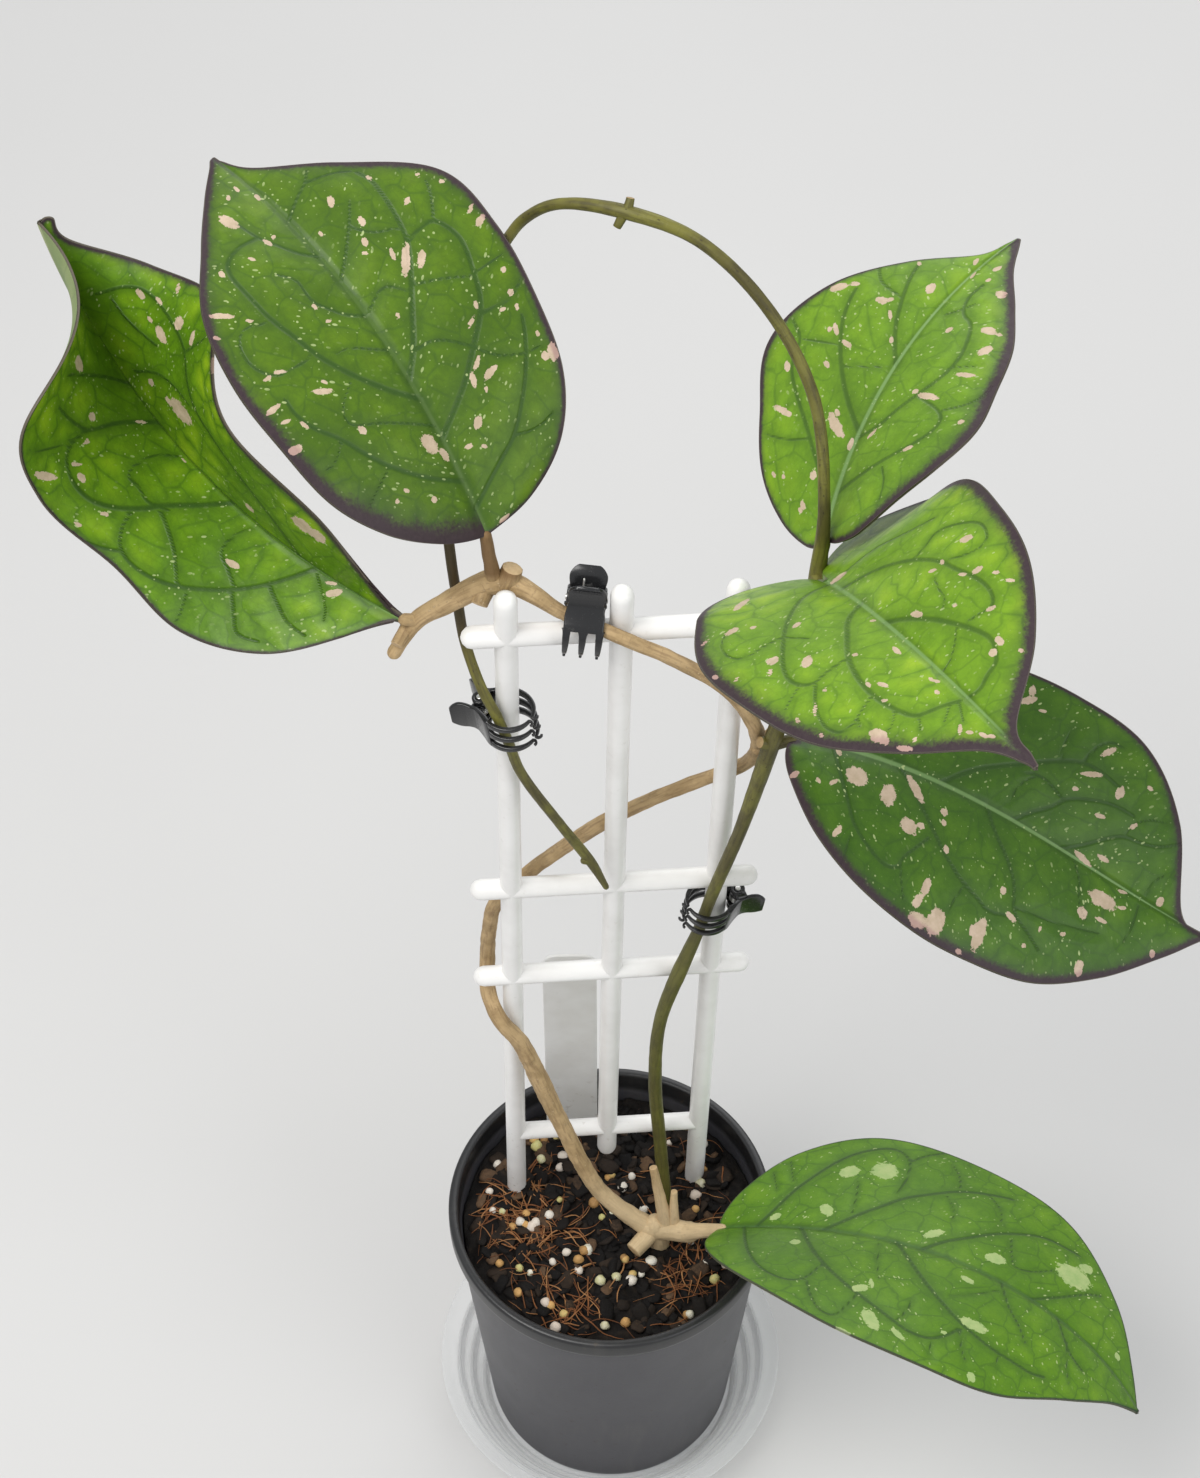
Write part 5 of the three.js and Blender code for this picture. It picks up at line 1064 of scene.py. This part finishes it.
def makeSaucer():
    s = saucerLook
    steps = [(s["foot"] + 2.6, 4), (s["foot"] + 6.2, 8.2), (s["foot"] + 9.8, s["height"] - s["wall"])]
    corners = [(0.01, 0, 0), (s["foot"], 0, 0.9)]
    for radius, level in steps:
        corners += [(radius - 1.2, level - s["wall"], 0.6), (radius + 1.2, level - s["wall"], 0.9)]
    corners += [(s["lip"], s["height"] - s["wall"], 0.3), (s["lip"], s["height"], 0.5)]
    for radius, level in reversed(steps):
        corners += [(radius + 0.3, level, 0.7), (radius - 2.1, level, 0.7)]
    corners += [(s["foot"] - 0.9, s["floor"], 0.8), (0.01, s["floor"], 0)]
    points, faces = lathe(roundedProfile(corners), 160)
    return addMesh("clearSaucer", points, faces, [saucerPaint()], ["saucer"])


makeSaucer()
print("pot and saucer made")

# Trellis: rods with round ends that cross one another
trellisLook = {"foot": (-2.4, 19.5, 0), "turn": 4.1, "lean": (0.014, -0.07), "rod": 2.65, "spacing": 25.2,
               "overhang": 10, "top": 363.4, "footDepth": 48, "middleEnd": 107,
               "rungs": (120.9, 204.8, 245.8, 348.7)}


def trellisPlace():
    up = Vector((*trellisLook["lean"], 1)).normalized()
    turn = math.radians(trellisLook["turn"])
    across = Vector((math.cos(turn), math.sin(turn), 0))
    across = (across - up * across.dot(up)).normalized()
    back = up.cross(across)
    return np.array([across, back, up]).T


def makeTrellis():
    t, shapes = trellisLook, []
    rods = [((x, 0, foot), (x, 0, t["top"]), t["rod"]) for x, foot in
            ((-t["spacing"], t["footDepth"]), (0, t["middleEnd"]), (t["spacing"], t["footDepth"]))]
    low, reach = t["rungs"][0], t["spacing"] + 1.6
    rods.append(((-reach, 0, low), (reach, 0, low), t["rod"] * 0.92))
    arm = t["spacing"] + t["overhang"]
    rods += [((-arm, 0, z), (arm, 0, z), t["rod"]) for z in t["rungs"][1:]]
    turn = trellisPlace()
    for start, end, radius in rods:
        start, end = np.array(start, float), np.array(end, float)
        way = (end - start) / np.linalg.norm(end - start)
        first, last = start + way * radius, end - way * radius
        steps = int(np.linalg.norm(last - first) / 3)
        line = first + np.outer(np.linspace(0, 1, steps + 1), last - first)
        size = np.full(steps + 1, radius)
        points, faces, _ = tubeShape(line @ turn.T + t["foot"], size, np.linspace(0, 1, steps + 1), 28)
        shapes.append((points, faces, {}))
    points, faces, _ = joinShapes(shapes)
    crossings = [(x, z) for z in t["rungs"] for x in (-t["spacing"], 0, t["spacing"])]
    local = (points - t["foot"]) @ turn
    nearest = np.min([np.hypot(local[:, 0] - x, local[:, 2] - z) for x, z in crossings], axis=0)
    # distance to the creases where the rods of each crossing meet, used for painted shade there
    seam = np.min([np.abs(np.abs(local[:, 0] - x) - np.abs(local[:, 2] - z))
                   + 3 * np.maximum(np.hypot(local[:, 0] - x, local[:, 2] - z) - 4.6, 0)
                   for x, z in crossings], axis=0)
    return addMesh("whiteTrellis", points, faces, [trellisPaint()], ["trellis"],
                   {"crossing": nearest, "seam": seam})


def trellisPaint():
    paint = Paint("whitePlastic", Specular_IOR_Level=0.5)
    spot = paint.place()
    cloud = paint.grain(spot, 60.0, 3.0, 0.6)
    grime = paint.grain(spot, 500.0, 4.0, 0.65)
    low = spot.split()[2].step(0.14, 0.088)
    close = paint.number("crossing").step(7.0, 2.0)
    colour = paint.mix(cloud.step(0.35, 0.7), (0.86, 0.848, 0.83), (0.79, 0.776, 0.755))
    # painted shade: a thin darker line along the creases where the rods of each crossing meet
    colour = paint.mix(paint.number("seam").step(0.5, 0.0) * 0.25, colour, (0.42, 0.4, 0.37))
    colour = paint.mix(grime.step(0.6, 0.75) * (0.12 + 0.35 * low + close * 0.1), colour, (0.33, 0.27, 0.2))
    paint.set("Base Color", colour)
    paint.set("Roughness", 0.24 + cloud * 0.14 + grime.step(0.6, 0.75) * 0.2)
    paint.bump(cloud * 0.4 + grime * 0.15, 0.12, 0.0004)
    return paint.material


makeTrellis()
print("trellis made")

# Label: a plain strip with a round top, thin and leaning slightly
labelLook = {"width": 14.5, "thickness": 0.9, "foot": (-10.7, 33.2, 62), "top": 176, "lean": -0.03, "corner": 4}


def makeLabel():
    look = labelLook
    half, tall = look["width"] / 2, look["top"] - look["foot"][2]
    outline = [(-half * 0.4, 0), (half * 0.4, 0), (half, 14), (half, tall - look["corner"])]
    for side, start in ((1, 0), (-1, 90)):
        for k in range(13):
            a = math.radians(start + k * 90 / 12)
            outline.append((side * (half - look["corner"]) + look["corner"] * math.cos(a),
                            tall - look["corner"] + look["corner"] * math.sin(a)))
    outline.append((-half, 14))
    bm = bmesh.new()
    corners = [bm.verts.new((x / 1000, 0, z / 1000)) for x, z in outline]
    face = bm.faces.new(corners)
    grown = bmesh.ops.extrude_face_region(bm, geom=[face])
    bmesh.ops.translate(bm, verts=[v for v in grown["geom"] if isinstance(v, bmesh.types.BMVert)],
                        vec=(0, -look["thickness"] / 1000, 0))
    bmesh.ops.recalc_face_normals(bm, faces=bm.faces)
    bmesh.ops.bevel(bm, geom=[e for e in bm.edges if e.calc_face_angle(0) > 0.8],
                    offset=0.0002, segments=2, affect="EDGES", profile=0.5)
    bm.transform(Matrix.Translation(Vector(look["foot"]) / 1000) @ Matrix.Rotation(-look["lean"], 4, "X"))
    mesh = bpy.data.meshes.new("blankLabel")
    bm.to_mesh(mesh)
    bm.free()
    mesh.materials.append(labelPaint())
    made = bpy.data.objects.new("blankLabel", mesh)
    bpy.context.scene.collection.objects.link(made)
    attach(made, body)
    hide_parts("plant_label")
    return made


def labelPaint():
    paint = Paint("labelPlastic", Specular_IOR_Level=0.4)
    spot = paint.place()
    cloud = paint.grain(spot, 70.0, 3.0, 0.6)
    scratch = paint.grain(paint.stretched(spot, 1.0, 1.0, 0.05), 1500.0, 2.0, 0.7)
    grime = paint.grain(spot, 380.0, 4.0, 0.65).step(0.58, 0.72)
    low = spot.split()[2].step(0.12, 0.09)
    colour = paint.mix(cloud.step(0.3, 0.7), (0.78, 0.775, 0.76), (0.7, 0.69, 0.665))
    colour = paint.mix(grime * (0.06 + low * 0.5), colour, (0.3, 0.24, 0.17))
    paint.set("Base Color", colour)
    paint.set("Roughness", 0.38 + cloud * 0.15 + scratch * 0.12)
    paint.bump(scratch * 0.3 + cloud * 0.3, 0.15, 0.0003)
    return paint.material


makeLabel()
print("label made")

# Potting mix: a rough dark surface with bark chips, feed beads and coir fibres
mixLook = {
    "level": 88, "relief": 1.1, "edge": 41.0, "bottom": 6.1, "rings": 80, "sides": 200,
    "chips": 500, "beads": 78, "fibres": 260, "seed": 7,
    # x, y, radius of the patches where coir lies thickest, and the share of the fibres there
    "coirPatches": ((-27, 3, 12), (-20, -6, 12), (-12, -31, 8), (22, -16, 8)), "coirShare": 0.75,
}


def mixRelief(x, y):
    wave = np.sin(x * 0.31 + 1.3) * np.cos(y * 0.27 - 0.6) + 0.6 * np.sin(x * 0.71 - y * 0.53)
    return mixLook["level"] + mixLook["relief"] * wave * 0.8


def mixPaint(name, tones, gloss, relief, grainScale):
    paint = Paint(name, Specular_IOR_Level=0.3)
    spot = paint.place()
    fine = paint.grain(spot, grainScale, 5.0, 0.7)
    broad = paint.grain(spot, 130.0, 3.0, 0.6)
    own = paint.number("tone")
    colour = paint.ramp((own + (fine - 0.5) * 0.35 + (broad - 0.5) * 0.3).clamp(), tones)
    paint.set("Base Color", colour)
    paint.set("Roughness", gloss + fine * 0.25)
    paint.bump(fine, relief, 0.0006)
    return paint.material


barkTones = [(0.0, (0.003, 0.0022, 0.002)), (0.45, (0.009, 0.0065, 0.005)), (0.78, (0.03, 0.019, 0.012)),
    (1.0, (0.13, 0.075, 0.04))]
beadTones = [(0.0, (0.66, 0.56, 0.47)), (0.35, (0.74, 0.7, 0.62)), (0.6, (0.52, 0.5, 0.2)),
    (0.8, (0.62, 0.36, 0.13)), (1.0, (0.34, 0.19, 0.07))]
coirTones = [(0.0, (0.08, 0.03, 0.013)), (0.5, (0.24, 0.09, 0.03)), (1.0, (0.4, 0.2, 0.08))]


def makeMixGround():
    look = mixLook
    radius = np.linspace(0.05, look["edge"], look["rings"])
    angle = np.arange(look["sides"]) * 2 * math.pi / look["sides"]
    x, y = np.outer(radius, np.cos(angle)), np.outer(radius, np.sin(angle))
    z = mixRelief(x, y)
    for i in range(x.shape[0]):
        for j in range(x.shape[1]):
            here = Vector((x[i, j], y[i, j], 0))
            z[i, j] += 0.9 * noise.noise(here * 0.45) + 0.6 * noise.noise(here * 1.1) - 0.2
    top = np.stack([x, y, z], -1).reshape(-1, 3)
    sides = look["sides"]
    skirt = [(potWall(level - 1.7) - 1.75, level) for level in (82, 70, 55, 40, 25, 12)]
    skirt += [(33, look["bottom"] + 0.5), (0.05, look["bottom"] + 0.5)]
    lower = np.vstack([np.stack([r * np.cos(angle), r * np.sin(angle), np.full(sides, h)], 1)
                       for r, h in skirt])
    points = np.vstack([top, lower])
    rows = look["rings"] + len(skirt)
    faces = [(r * sides + k, (r + 1) * sides + k,
              (r + 1) * sides + (k + 1) % sides, r * sides + (k + 1) % sides)
             for r in range(rows - 1) for k in range(sides)]
    faces += [tuple(range(sides)), tuple(reversed(range((rows - 1) * sides, rows * sides)))]
    tone = np.array([0.3 + 0.5 * noise.noise(Vector(p) * 0.5) for p in points])
    paint = mixPaint("mixGround", barkTones, 0.75, 0.9, 700.0)
    addMesh("mixGround", points, faces, [paint], ["potting_mix"], {"tone": tone})


def chipShape(draw, x, y, size):
    bm = bmesh.new()
    bmesh.ops.create_icosphere(bm, subdivisions=2, radius=1)
    stretch = Vector((size, size * draw.uniform(0.4, 0.8), size * draw.uniform(0.16, 0.34)))
    offset = draw.uniform(0, 90)
    for v in bm.verts:
        p = v.co * (1 + 0.55 * noise.noise(v.co * 1.4 + Vector((offset, 0, 0))))
        box = Vector([math.copysign(abs(c) ** 0.62, c) for c in p])
        v.co = Vector([a * b for a, b in zip(box, stretch)])
    turn = Euler((draw.gauss(0, 0.35), draw.gauss(0, 0.35), draw.uniform(0, 6.3))).to_matrix().to_4x4()
    bm.transform(Matrix.Translation((x, y, float(mixRelief(x, y)) + size * 0.1)) @ turn)
    points = [tuple(v.co) for v in bm.verts]
    faces = [[v.index for v in f.verts] for f in bm.faces]
    bm.free()
    return points, faces, {"tone": np.full(len(points), draw.random() ** 1.6)}


def beadShape(draw, x, y, size):
    bm = bmesh.new()
    bmesh.ops.create_icosphere(bm, subdivisions=2, radius=size)
    offset = draw.uniform(0, 90)
    for v in bm.verts:
        v.co *= 1 + 0.26 * noise.noise(v.co * 0.75 + Vector((offset, 0, 0)))
    bm.transform(Matrix.Translation((x, y, float(mixRelief(x, y)) + size * draw.uniform(0.2, 0.8))))
    points = [tuple(v.co) for v in bm.verts]
    faces = [[v.index for v in f.verts] for f in bm.faces]
    bm.free()
    return points, faces, {"tone": np.full(len(points), draw.random())}


def fibreShape(draw, x, y, seed):
    heading, length = draw.uniform(0, 6.3), draw.uniform(5, 17)
    steps, bend = 14, draw.uniform(-1.6, 1.6)
    line = []
    px, py = x, y
    for i in range(steps + 1):
        lift = draw.uniform(0.3, 0.9) + 0.6 * math.sin(math.pi * i / steps) * draw.uniform(0.6, 1.4)
        line.append((px, py, float(mixRelief(px, py)) + lift))
        heading += bend / steps + draw.gauss(0, 0.09)
        px, py = px + math.cos(heading) * length / steps, py + math.sin(heading) * length / steps
    line = np.array(line)
    line[1:-1, 2] = (line[:-2, 2] + line[1:-1, 2] + line[2:, 2]) / 3
    inside = np.hypot(line[:, 0], line[:, 1]) < mixLook["edge"] - 0.8
    if not inside.all():
        return None
    size = draw.uniform(0.1, 0.26) * np.interp(np.linspace(0, 1, steps + 1), [0, 0.2, 1], [0.5, 1, 0.4])
    points, faces, _ = tubeShape(line, size, np.linspace(0, 1, steps + 1), 6, seed)
    return points, faces, {"tone": np.full(len(points), draw.random())}


# A free spot of the surface, away from the rods, stems and label that stand in it
def mixSpot(draw, room):
    while True:
        a, r = draw.uniform(0, 2 * math.pi), (mixLook["edge"] - room) * math.sqrt(draw.random())
        x, y = r * math.cos(a), r * math.sin(a)
        standing = ((12.5, -6.5, 4), (15.5, 3, 2.5), (-27.5, 11.6, 3.2), (22.7, 15.2, 3.2))
        inLabel = abs(x + 10.7) < 8 and abs(y - 32) < 1.6
        if not inLabel and all(math.hypot(x - u, y - v) > size + 0.3 for u, v, size in standing):
            return x, y


def makeMix():
    draw = random.Random(mixLook["seed"])
    makeMixGround()
    chips = [chipShape(draw, *mixSpot(draw, 3.4), draw.uniform(0.9, 3.1)) for _ in range(mixLook["chips"])]
    beads = [beadShape(draw, *mixSpot(draw, 2.2), draw.uniform(0.95, 1.65)) for _ in range(mixLook["beads"])]
    fibres = []
    while len(fibres) < mixLook["fibres"]:
        x, y = mixSpot(draw, 3)
        if draw.random() < mixLook["coirShare"]:
            u, v, spreadSize = draw.choice(mixLook["coirPatches"])
            x, y = u + draw.gauss(0, spreadSize / 2), v + draw.gauss(0, spreadSize / 2)
        made = fibreShape(draw, x, y, len(fibres))
        if made:
            fibres.append(made)
    for name, shapes, tones, gloss, grainScale in (
            ("mixBark", chips, barkTones, 0.72, 1300.0), ("mixBeads", beads, beadTones, 0.42, 900.0),
            ("mixCoir", fibres, coirTones, 0.6, 2500.0)):
        points, faces, attributes = joinShapes(shapes)
        paint = mixPaint(name, tones, gloss, 0.5, grainScale)
        addMesh(name, points, faces, [paint], [], attributes)


makeMix()
print("potting mix made")

# Claw clips: two jaws on a steel pin, with a coiled spring between their paddles
clipLook = {
    "width": 8.8, "tines": 3, "tineWidth": 1.6, "band": 1.1, "gripHigh": 5.4, "gripDeep": 4.9,
    "hinge": 7.4, "waist": 2.8, "waistWidth": 7.6, "knuckle": 1.8, "pin": 0.7, "pinLength": 9.4,
    "paddleTop": 13.0, "paddleOut": 4.7, "spring": 1.3, "wire": 0.24, "springHalf": 1.15,
    # the small curl at the end of each tine, as (deep, high) from its tip inwards
    "curl": [(1.6, -6.85), (1.25, -7.0), (0.85, -6.9), (0.55, -6.6), (0.45, -6.25)],
}
clipPlaces = {
    "clip_top": ((-5.8, -5.9, 350), (0.1, 0.26, 0.96), (0.99, -0.07, -0.08)),
    "clip_left": ((-22.5, -6.5, 318.8), (-0.86, 0.51, -0.07), (-0.11, -0.05, 0.99)),
    "clip_right": ((24.4, 3.45, 233.4), (0.9, 0.43, -0.04), (0.11, -0.13, 0.99)),
}


# A band of plastic along a line in the YZ plane, with rounded long edges and its own half width at each point
def bandShape(line, halfWidths, x, half):
    line = np.asarray(line, float)
    way = np.gradient(line, axis=0)
    way /= np.linalg.norm(way, axis=1)[:, None]
    rings = []
    for (y, z), (wy, wz), wide, thick in zip(line, way, halfWidths, np.broadcast_to(half, len(line))):
        ring = []
        corner = thick * 0.55
        for sx, sn, start in ((1, 1, 0), (-1, 1, 90), (-1, -1, 180), (1, -1, 270)):
            for k in range(4):
                a = math.radians(start + 30 * k)
                soft = min(corner, wide * 0.8)
                u = sx * (wide - soft) + soft * math.cos(a)
                n = sn * (thick - corner) + corner * math.sin(a)
                ring.append((x + u, y + wz * n, z - wy * n))
        rings.append(ring)
    sides = len(rings[0])
    points = np.array(rings).reshape(-1, 3)
    faces = [(r * sides + k, r * sides + (k + 1) % sides,
              (r + 1) * sides + (k + 1) % sides, (r + 1) * sides + k)
             for r in range(len(rings) - 1) for k in range(sides)]
    faces += [tuple(reversed(range(sides))), tuple(range((len(rings) - 1) * sides, len(rings) * sides))]
    return points, faces, {}


def jawShapes(knuckleSpots, knuckleWidth):
    c = clipLook
    half = c["band"] / 2
    shapes = []

    def onGrip(degrees):
        a = math.radians(degrees)
        return (c["gripDeep"] + half) * math.cos(a), (c["gripHigh"] + half) * math.sin(a)

    # each tine ends in a small curl, and widens to meet its neighbours under the shoulder
    curl = c["curl"]
    bend = np.linspace(-84, 24, 40)
    line = curl + [onGrip(a) for a in bend]
    flare = 1 - np.sqrt(1 - np.clip((bend - 2) / 22, 0, 1) ** 2)
    body = np.interp(bend, [-84, -30, 2], [0.42, 0.62, 0.8]) + flare
    widths = np.concatenate([np.linspace(0.3, 0.4, len(curl)), body])
    thick = np.concatenate([np.full(len(curl), 0.3), np.interp(bend, [-84, -50], [0.32, half])])
    for i in range(c["tines"]):
        x = (i - (c["tines"] - 1) / 2) * ((c["width"] - c["tineWidth"]) / (c["tines"] - 1))
        widest = 1.8 if i == 1 else 0.8 + (widths - 0.8) * 0.3
        shapes.append(bandShape(line, np.minimum(widths, widest), x, thick))
    plain = [onGrip(a) for a in (19, 26, 32, 38)]
    # from the waist up to the paddle: how far out from the waist, and how high from the hinge
    plain += [(c["waist"] + out, c["hinge"] + up) for out, up in
              ((0, -0.6), (0, 0.6), (0.15, 2.2), (0.7, 3.8), (1.25, 4.8))]
    plain.append((c["paddleOut"], c["paddleTop"]))
    plate, widths = [], []
    for (y0, z0), (y1, z1) in zip(plain, plain[1:]):
        plate += [(y0 + (y1 - y0) * k / 6, z0 + (z1 - z0) * k / 6) for k in range(6)]
    plate.append(plain[-1])
    plate = np.array(plate)
    for _ in range(3):
        plate[1:-1] = (plate[:-2] + 2 * plate[1:-1] + plate[2:]) / 4
    narrow = (c["width"] - c["waistWidth"]) / 2
    for z in plate[:, 1]:
        into = max(z - (c["paddleTop"] - 3), 0)
        side = c["width"] / 2 - narrow * max(1 - abs(z - c["hinge"] - 0.8) / 3.2, 0)
        widths.append(side - 3.2 + math.sqrt(max(3.2 ** 2 - into ** 2, 0.4)))
    thick = np.interp(plate[:, 1], [1.9, 2.6, 3.6, 5, 8, c["paddleTop"]], [0.62, 0.72, 0.7, 0.55, 0.5, 0.42])
    shapes.append(bandShape(plate, widths, 0, thick))
    for x in knuckleSpots:
        angles = np.linspace(0, 2 * math.pi, 29)[:-1]
        ring = [(x, c["knuckle"] * math.cos(a), c["hinge"] + c["knuckle"] * math.sin(a)) for a in angles]
        shapes.append(knuckleShape(ring, knuckleWidth))
        web = [(0.5, c["hinge"]), (c["waist"], c["hinge"] - 0.1)]
        shapes.append(bandShape(web, [knuckleWidth / 2] * 2, x, c["knuckle"] * 0.9))
    return shapes


def knuckleShape(ring, width):
    ring = np.array(ring)
    centre = ring.mean(0)
    layers = [ring * 1.0 + (offset, 0, 0) for offset in (-width / 2 + 0.12, width / 2 - 0.12)]
    caps = [centre + (ring - centre) * 0.93 + (offset, 0, 0) for offset in (-width / 2, width / 2)]
    holes = [centre + (ring - centre) * (clipLook["pin"] + 0.3) / clipLook["knuckle"] + (offset, 0, 0)
             for offset in (-width / 2, width / 2)]
    rows = [holes[0], caps[0], layers[0], layers[1], caps[1], holes[1]]
    n = len(ring)
    faces = [(r * n + k, r * n + (k + 1) % n, ((r + 1) % 6) * n + (k + 1) % n, ((r + 1) % 6) * n + k)
             for r in range(6) for k in range(n)]
    return np.vstack(rows), faces, {}


def springShapes():
    c = clipLook
    turns, count = 4, 90
    line = []
    for i in range(count + 1):
        a = 2 * math.pi * turns * i / count + 0.6
        x = -c["springHalf"] + 0.2 + (2 * c["springHalf"] - 0.4) * i / count
        line.append((x, c["spring"] * math.cos(a), c["hinge"] + c["spring"] * math.sin(a)))
    first, last = line[0], line[-1]
    legs = ((line[0][0], c["waist"] - 0.9, c["hinge"] + 3.6), (line[-1][0], -1.0, c["hinge"] + 1.9))
    start = [tuple(np.array(legs[0]) + (np.array(first) - legs[0]) * k / 5) for k in range(5)]
    end = [tuple(np.array(last) + (np.array(legs[1]) - last) * k / 5) for k in range(1, 6)]
    whole = np.array(start + line + end)
    points, faces, _ = tubeShape(whole, np.full(len(whole), c["wire"]), np.arange(len(whole)) * 0.3, 8)
    return [(points, faces, {})]


def clipPaint():
    paint = Paint("clipPlastic", Specular_IOR_Level=0.55)
    spot = paint.place()
    cloud = paint.grain(spot, 90.0, 3.0, 0.6)
    scuff = paint.grain(paint.stretched(spot, 1.0, 0.3, 1.0), 1600.0, 3.0, 0.7)
    dust = paint.grain(spot, 600.0, 4.0, 0.7).step(0.6, 0.75)
    paint.set("Base Color", paint.mix(dust * 0.35, (0.012, 0.012, 0.013), (0.06, 0.057, 0.052)))
    paint.set("Roughness", 0.16 + cloud * 0.12 + scuff.step(0.55, 0.75) * 0.14 + dust * 0.25)
    paint.bump(cloud * 0.6 + scuff * 0.1, 0.12, 0.0003)
    return paint.material


def steelPaint():
    paint = Paint("clipSteel", Metallic=1.0)
    spot = paint.place()
    drawn = paint.grain(paint.stretched(spot, 0.2, 1.0, 1.0), 2600.0, 3.0, 0.6)
    stain = paint.grain(spot, 500.0, 3.0, 0.6).step(0.55, 0.75)
    paint.set("Base Color", paint.mix(stain * 0.5, (0.66, 0.65, 0.63), (0.36, 0.33, 0.29)))
    paint.set("Roughness", 0.2 + drawn * 0.2 + stain * 0.2)
    paint.bump(drawn, 0.2, 0.0002)
    return paint.material


def clipMatrix(centre, towardsPaddles, pinDirection):
    up = Vector(towardsPaddles).normalized()
    pin = Vector(pinDirection)
    pin = (pin - up * pin.dot(up)).normalized()
    return np.array([pin, up.cross(pin), up]).T, np.array(centre)


def placed(shapes, turn, centre, flip=False):
    points, faces, _ = joinShapes(shapes)
    if flip:
        points = points * (-1, -1, 1)
    return points @ turn.T + centre, faces


def makeClips():
    plastic, steel = clipPaint(), steelPaint()
    fixed, moving = jawShapes((-3.65, 3.65), 1.5), jawShapes((-2.1, 2.1), 1.0)
    spring, shaft = springShapes(), pinShaft()
    for name, place in clipPlaces.items():
        turn, centre = clipMatrix(*place)
        jobs = (("FixedJaw", "_fixed_jaw", fixed, False, plastic, "clip_plastic", body),
                ("MovingJaw", "_moving_jaw", moving, True, plastic, "clip_plastic", name + "_jaw"),
                ("Spring", "_spring", spring, False, steel, "clip_steel", body),
                ("Pin", "_pin", shaft, False, steel, "clip_steel", body))
        for suffix, node, shapes, flip, material, slot, on in jobs:
            points, faces = placed(shapes, turn, centre, flip)
            title = name.replace("_t", "T").replace("_l", "L").replace("_r", "R") + suffix
            made = addMesh(title, points, faces, [material], [name + node], None, None, on)
            turnOut(made)


def pinShaft():
    c = clipLook
    reach, r = c["pinLength"] / 2, c["pin"]
    line = np.stack([np.linspace(-reach + 0.15, reach - 0.15, 12), np.zeros(12), np.full(12, c["hinge"])], 1)
    points, faces, _ = tubeShape(line, np.full(12, r), np.linspace(0, 1, 12), 24, 0, 0, 1.0, 1.0)
    return [(points, faces, {})]


def turnOut(made):
    bm = bmesh.new()
    bm.from_mesh(made.data)
    bmesh.ops.recalc_face_normals(bm, faces=bm.faces)
    bm.to_mesh(made.data)
    bm.free()


makeClips()
print("clips made")

# A plain pale floor, and soft light from large panels
def makeStage():
    size = 3.0
    mesh = bpy.data.meshes.new("floor")
    mesh.from_pydata([(-size, -size, 0), (size, -size, 0), (size, size, 0),
        (-size, size, 0)], [], [(0, 1, 2, 3)])
    paint = Paint("floorPaint", Specular_IOR_Level=0.2)
    cloud = paint.grain(paint.place(), 3.0, 3.0, 0.6)
    paint.set("Base Color", paint.mix(cloud, (0.595, 0.587, 0.578), (0.63, 0.625, 0.617)))
    paint.set("Roughness", 0.6 + cloud * 0.15)
    mesh.materials.append(paint.material)
    floor = bpy.data.objects.new("floor", mesh)
    bpy.context.scene.collection.objects.link(floor)


def addPanel(name, place, aim, size, power, colour):
    data = bpy.data.lights.new(name, "AREA")
    data.shape, data.size, data.energy, data.color = "DISK", size, power, colour
    light = bpy.data.objects.new(name, data)
    light.location = place
    light.rotation_euler = (Vector(aim) - Vector(place)).to_track_quat("-Z", "Y").to_euler()
    bpy.context.scene.collection.objects.link(light)


def makeLight():
    addPanel("keyPanel", (-0.5, -0.35, 1.35), (0, 0, 0.25), 0.8, 11, (1.0, 0.985, 0.96))
    addPanel("fillPanel", (0.9, -0.7, 0.8), (0, 0, 0.2), 1.0, 4.9, (0.96, 0.98, 1.0))
    addPanel("backPanel", (0.2, 0.9, 0.9), (0, 0, 0.25), 0.9, 3.7, (1.0, 1.0, 1.0))
    world = bpy.data.worlds.new("softRoom")
    world.use_nodes = True
    world.node_tree.nodes["Background"].inputs["Color"].default_value = (0.92, 0.94, 0.96, 1)
    world.node_tree.nodes["Background"].inputs["Strength"].default_value = 0.67
    bpy.context.scene.world = world


makeStage()
makeLight()
print("stage and light made")
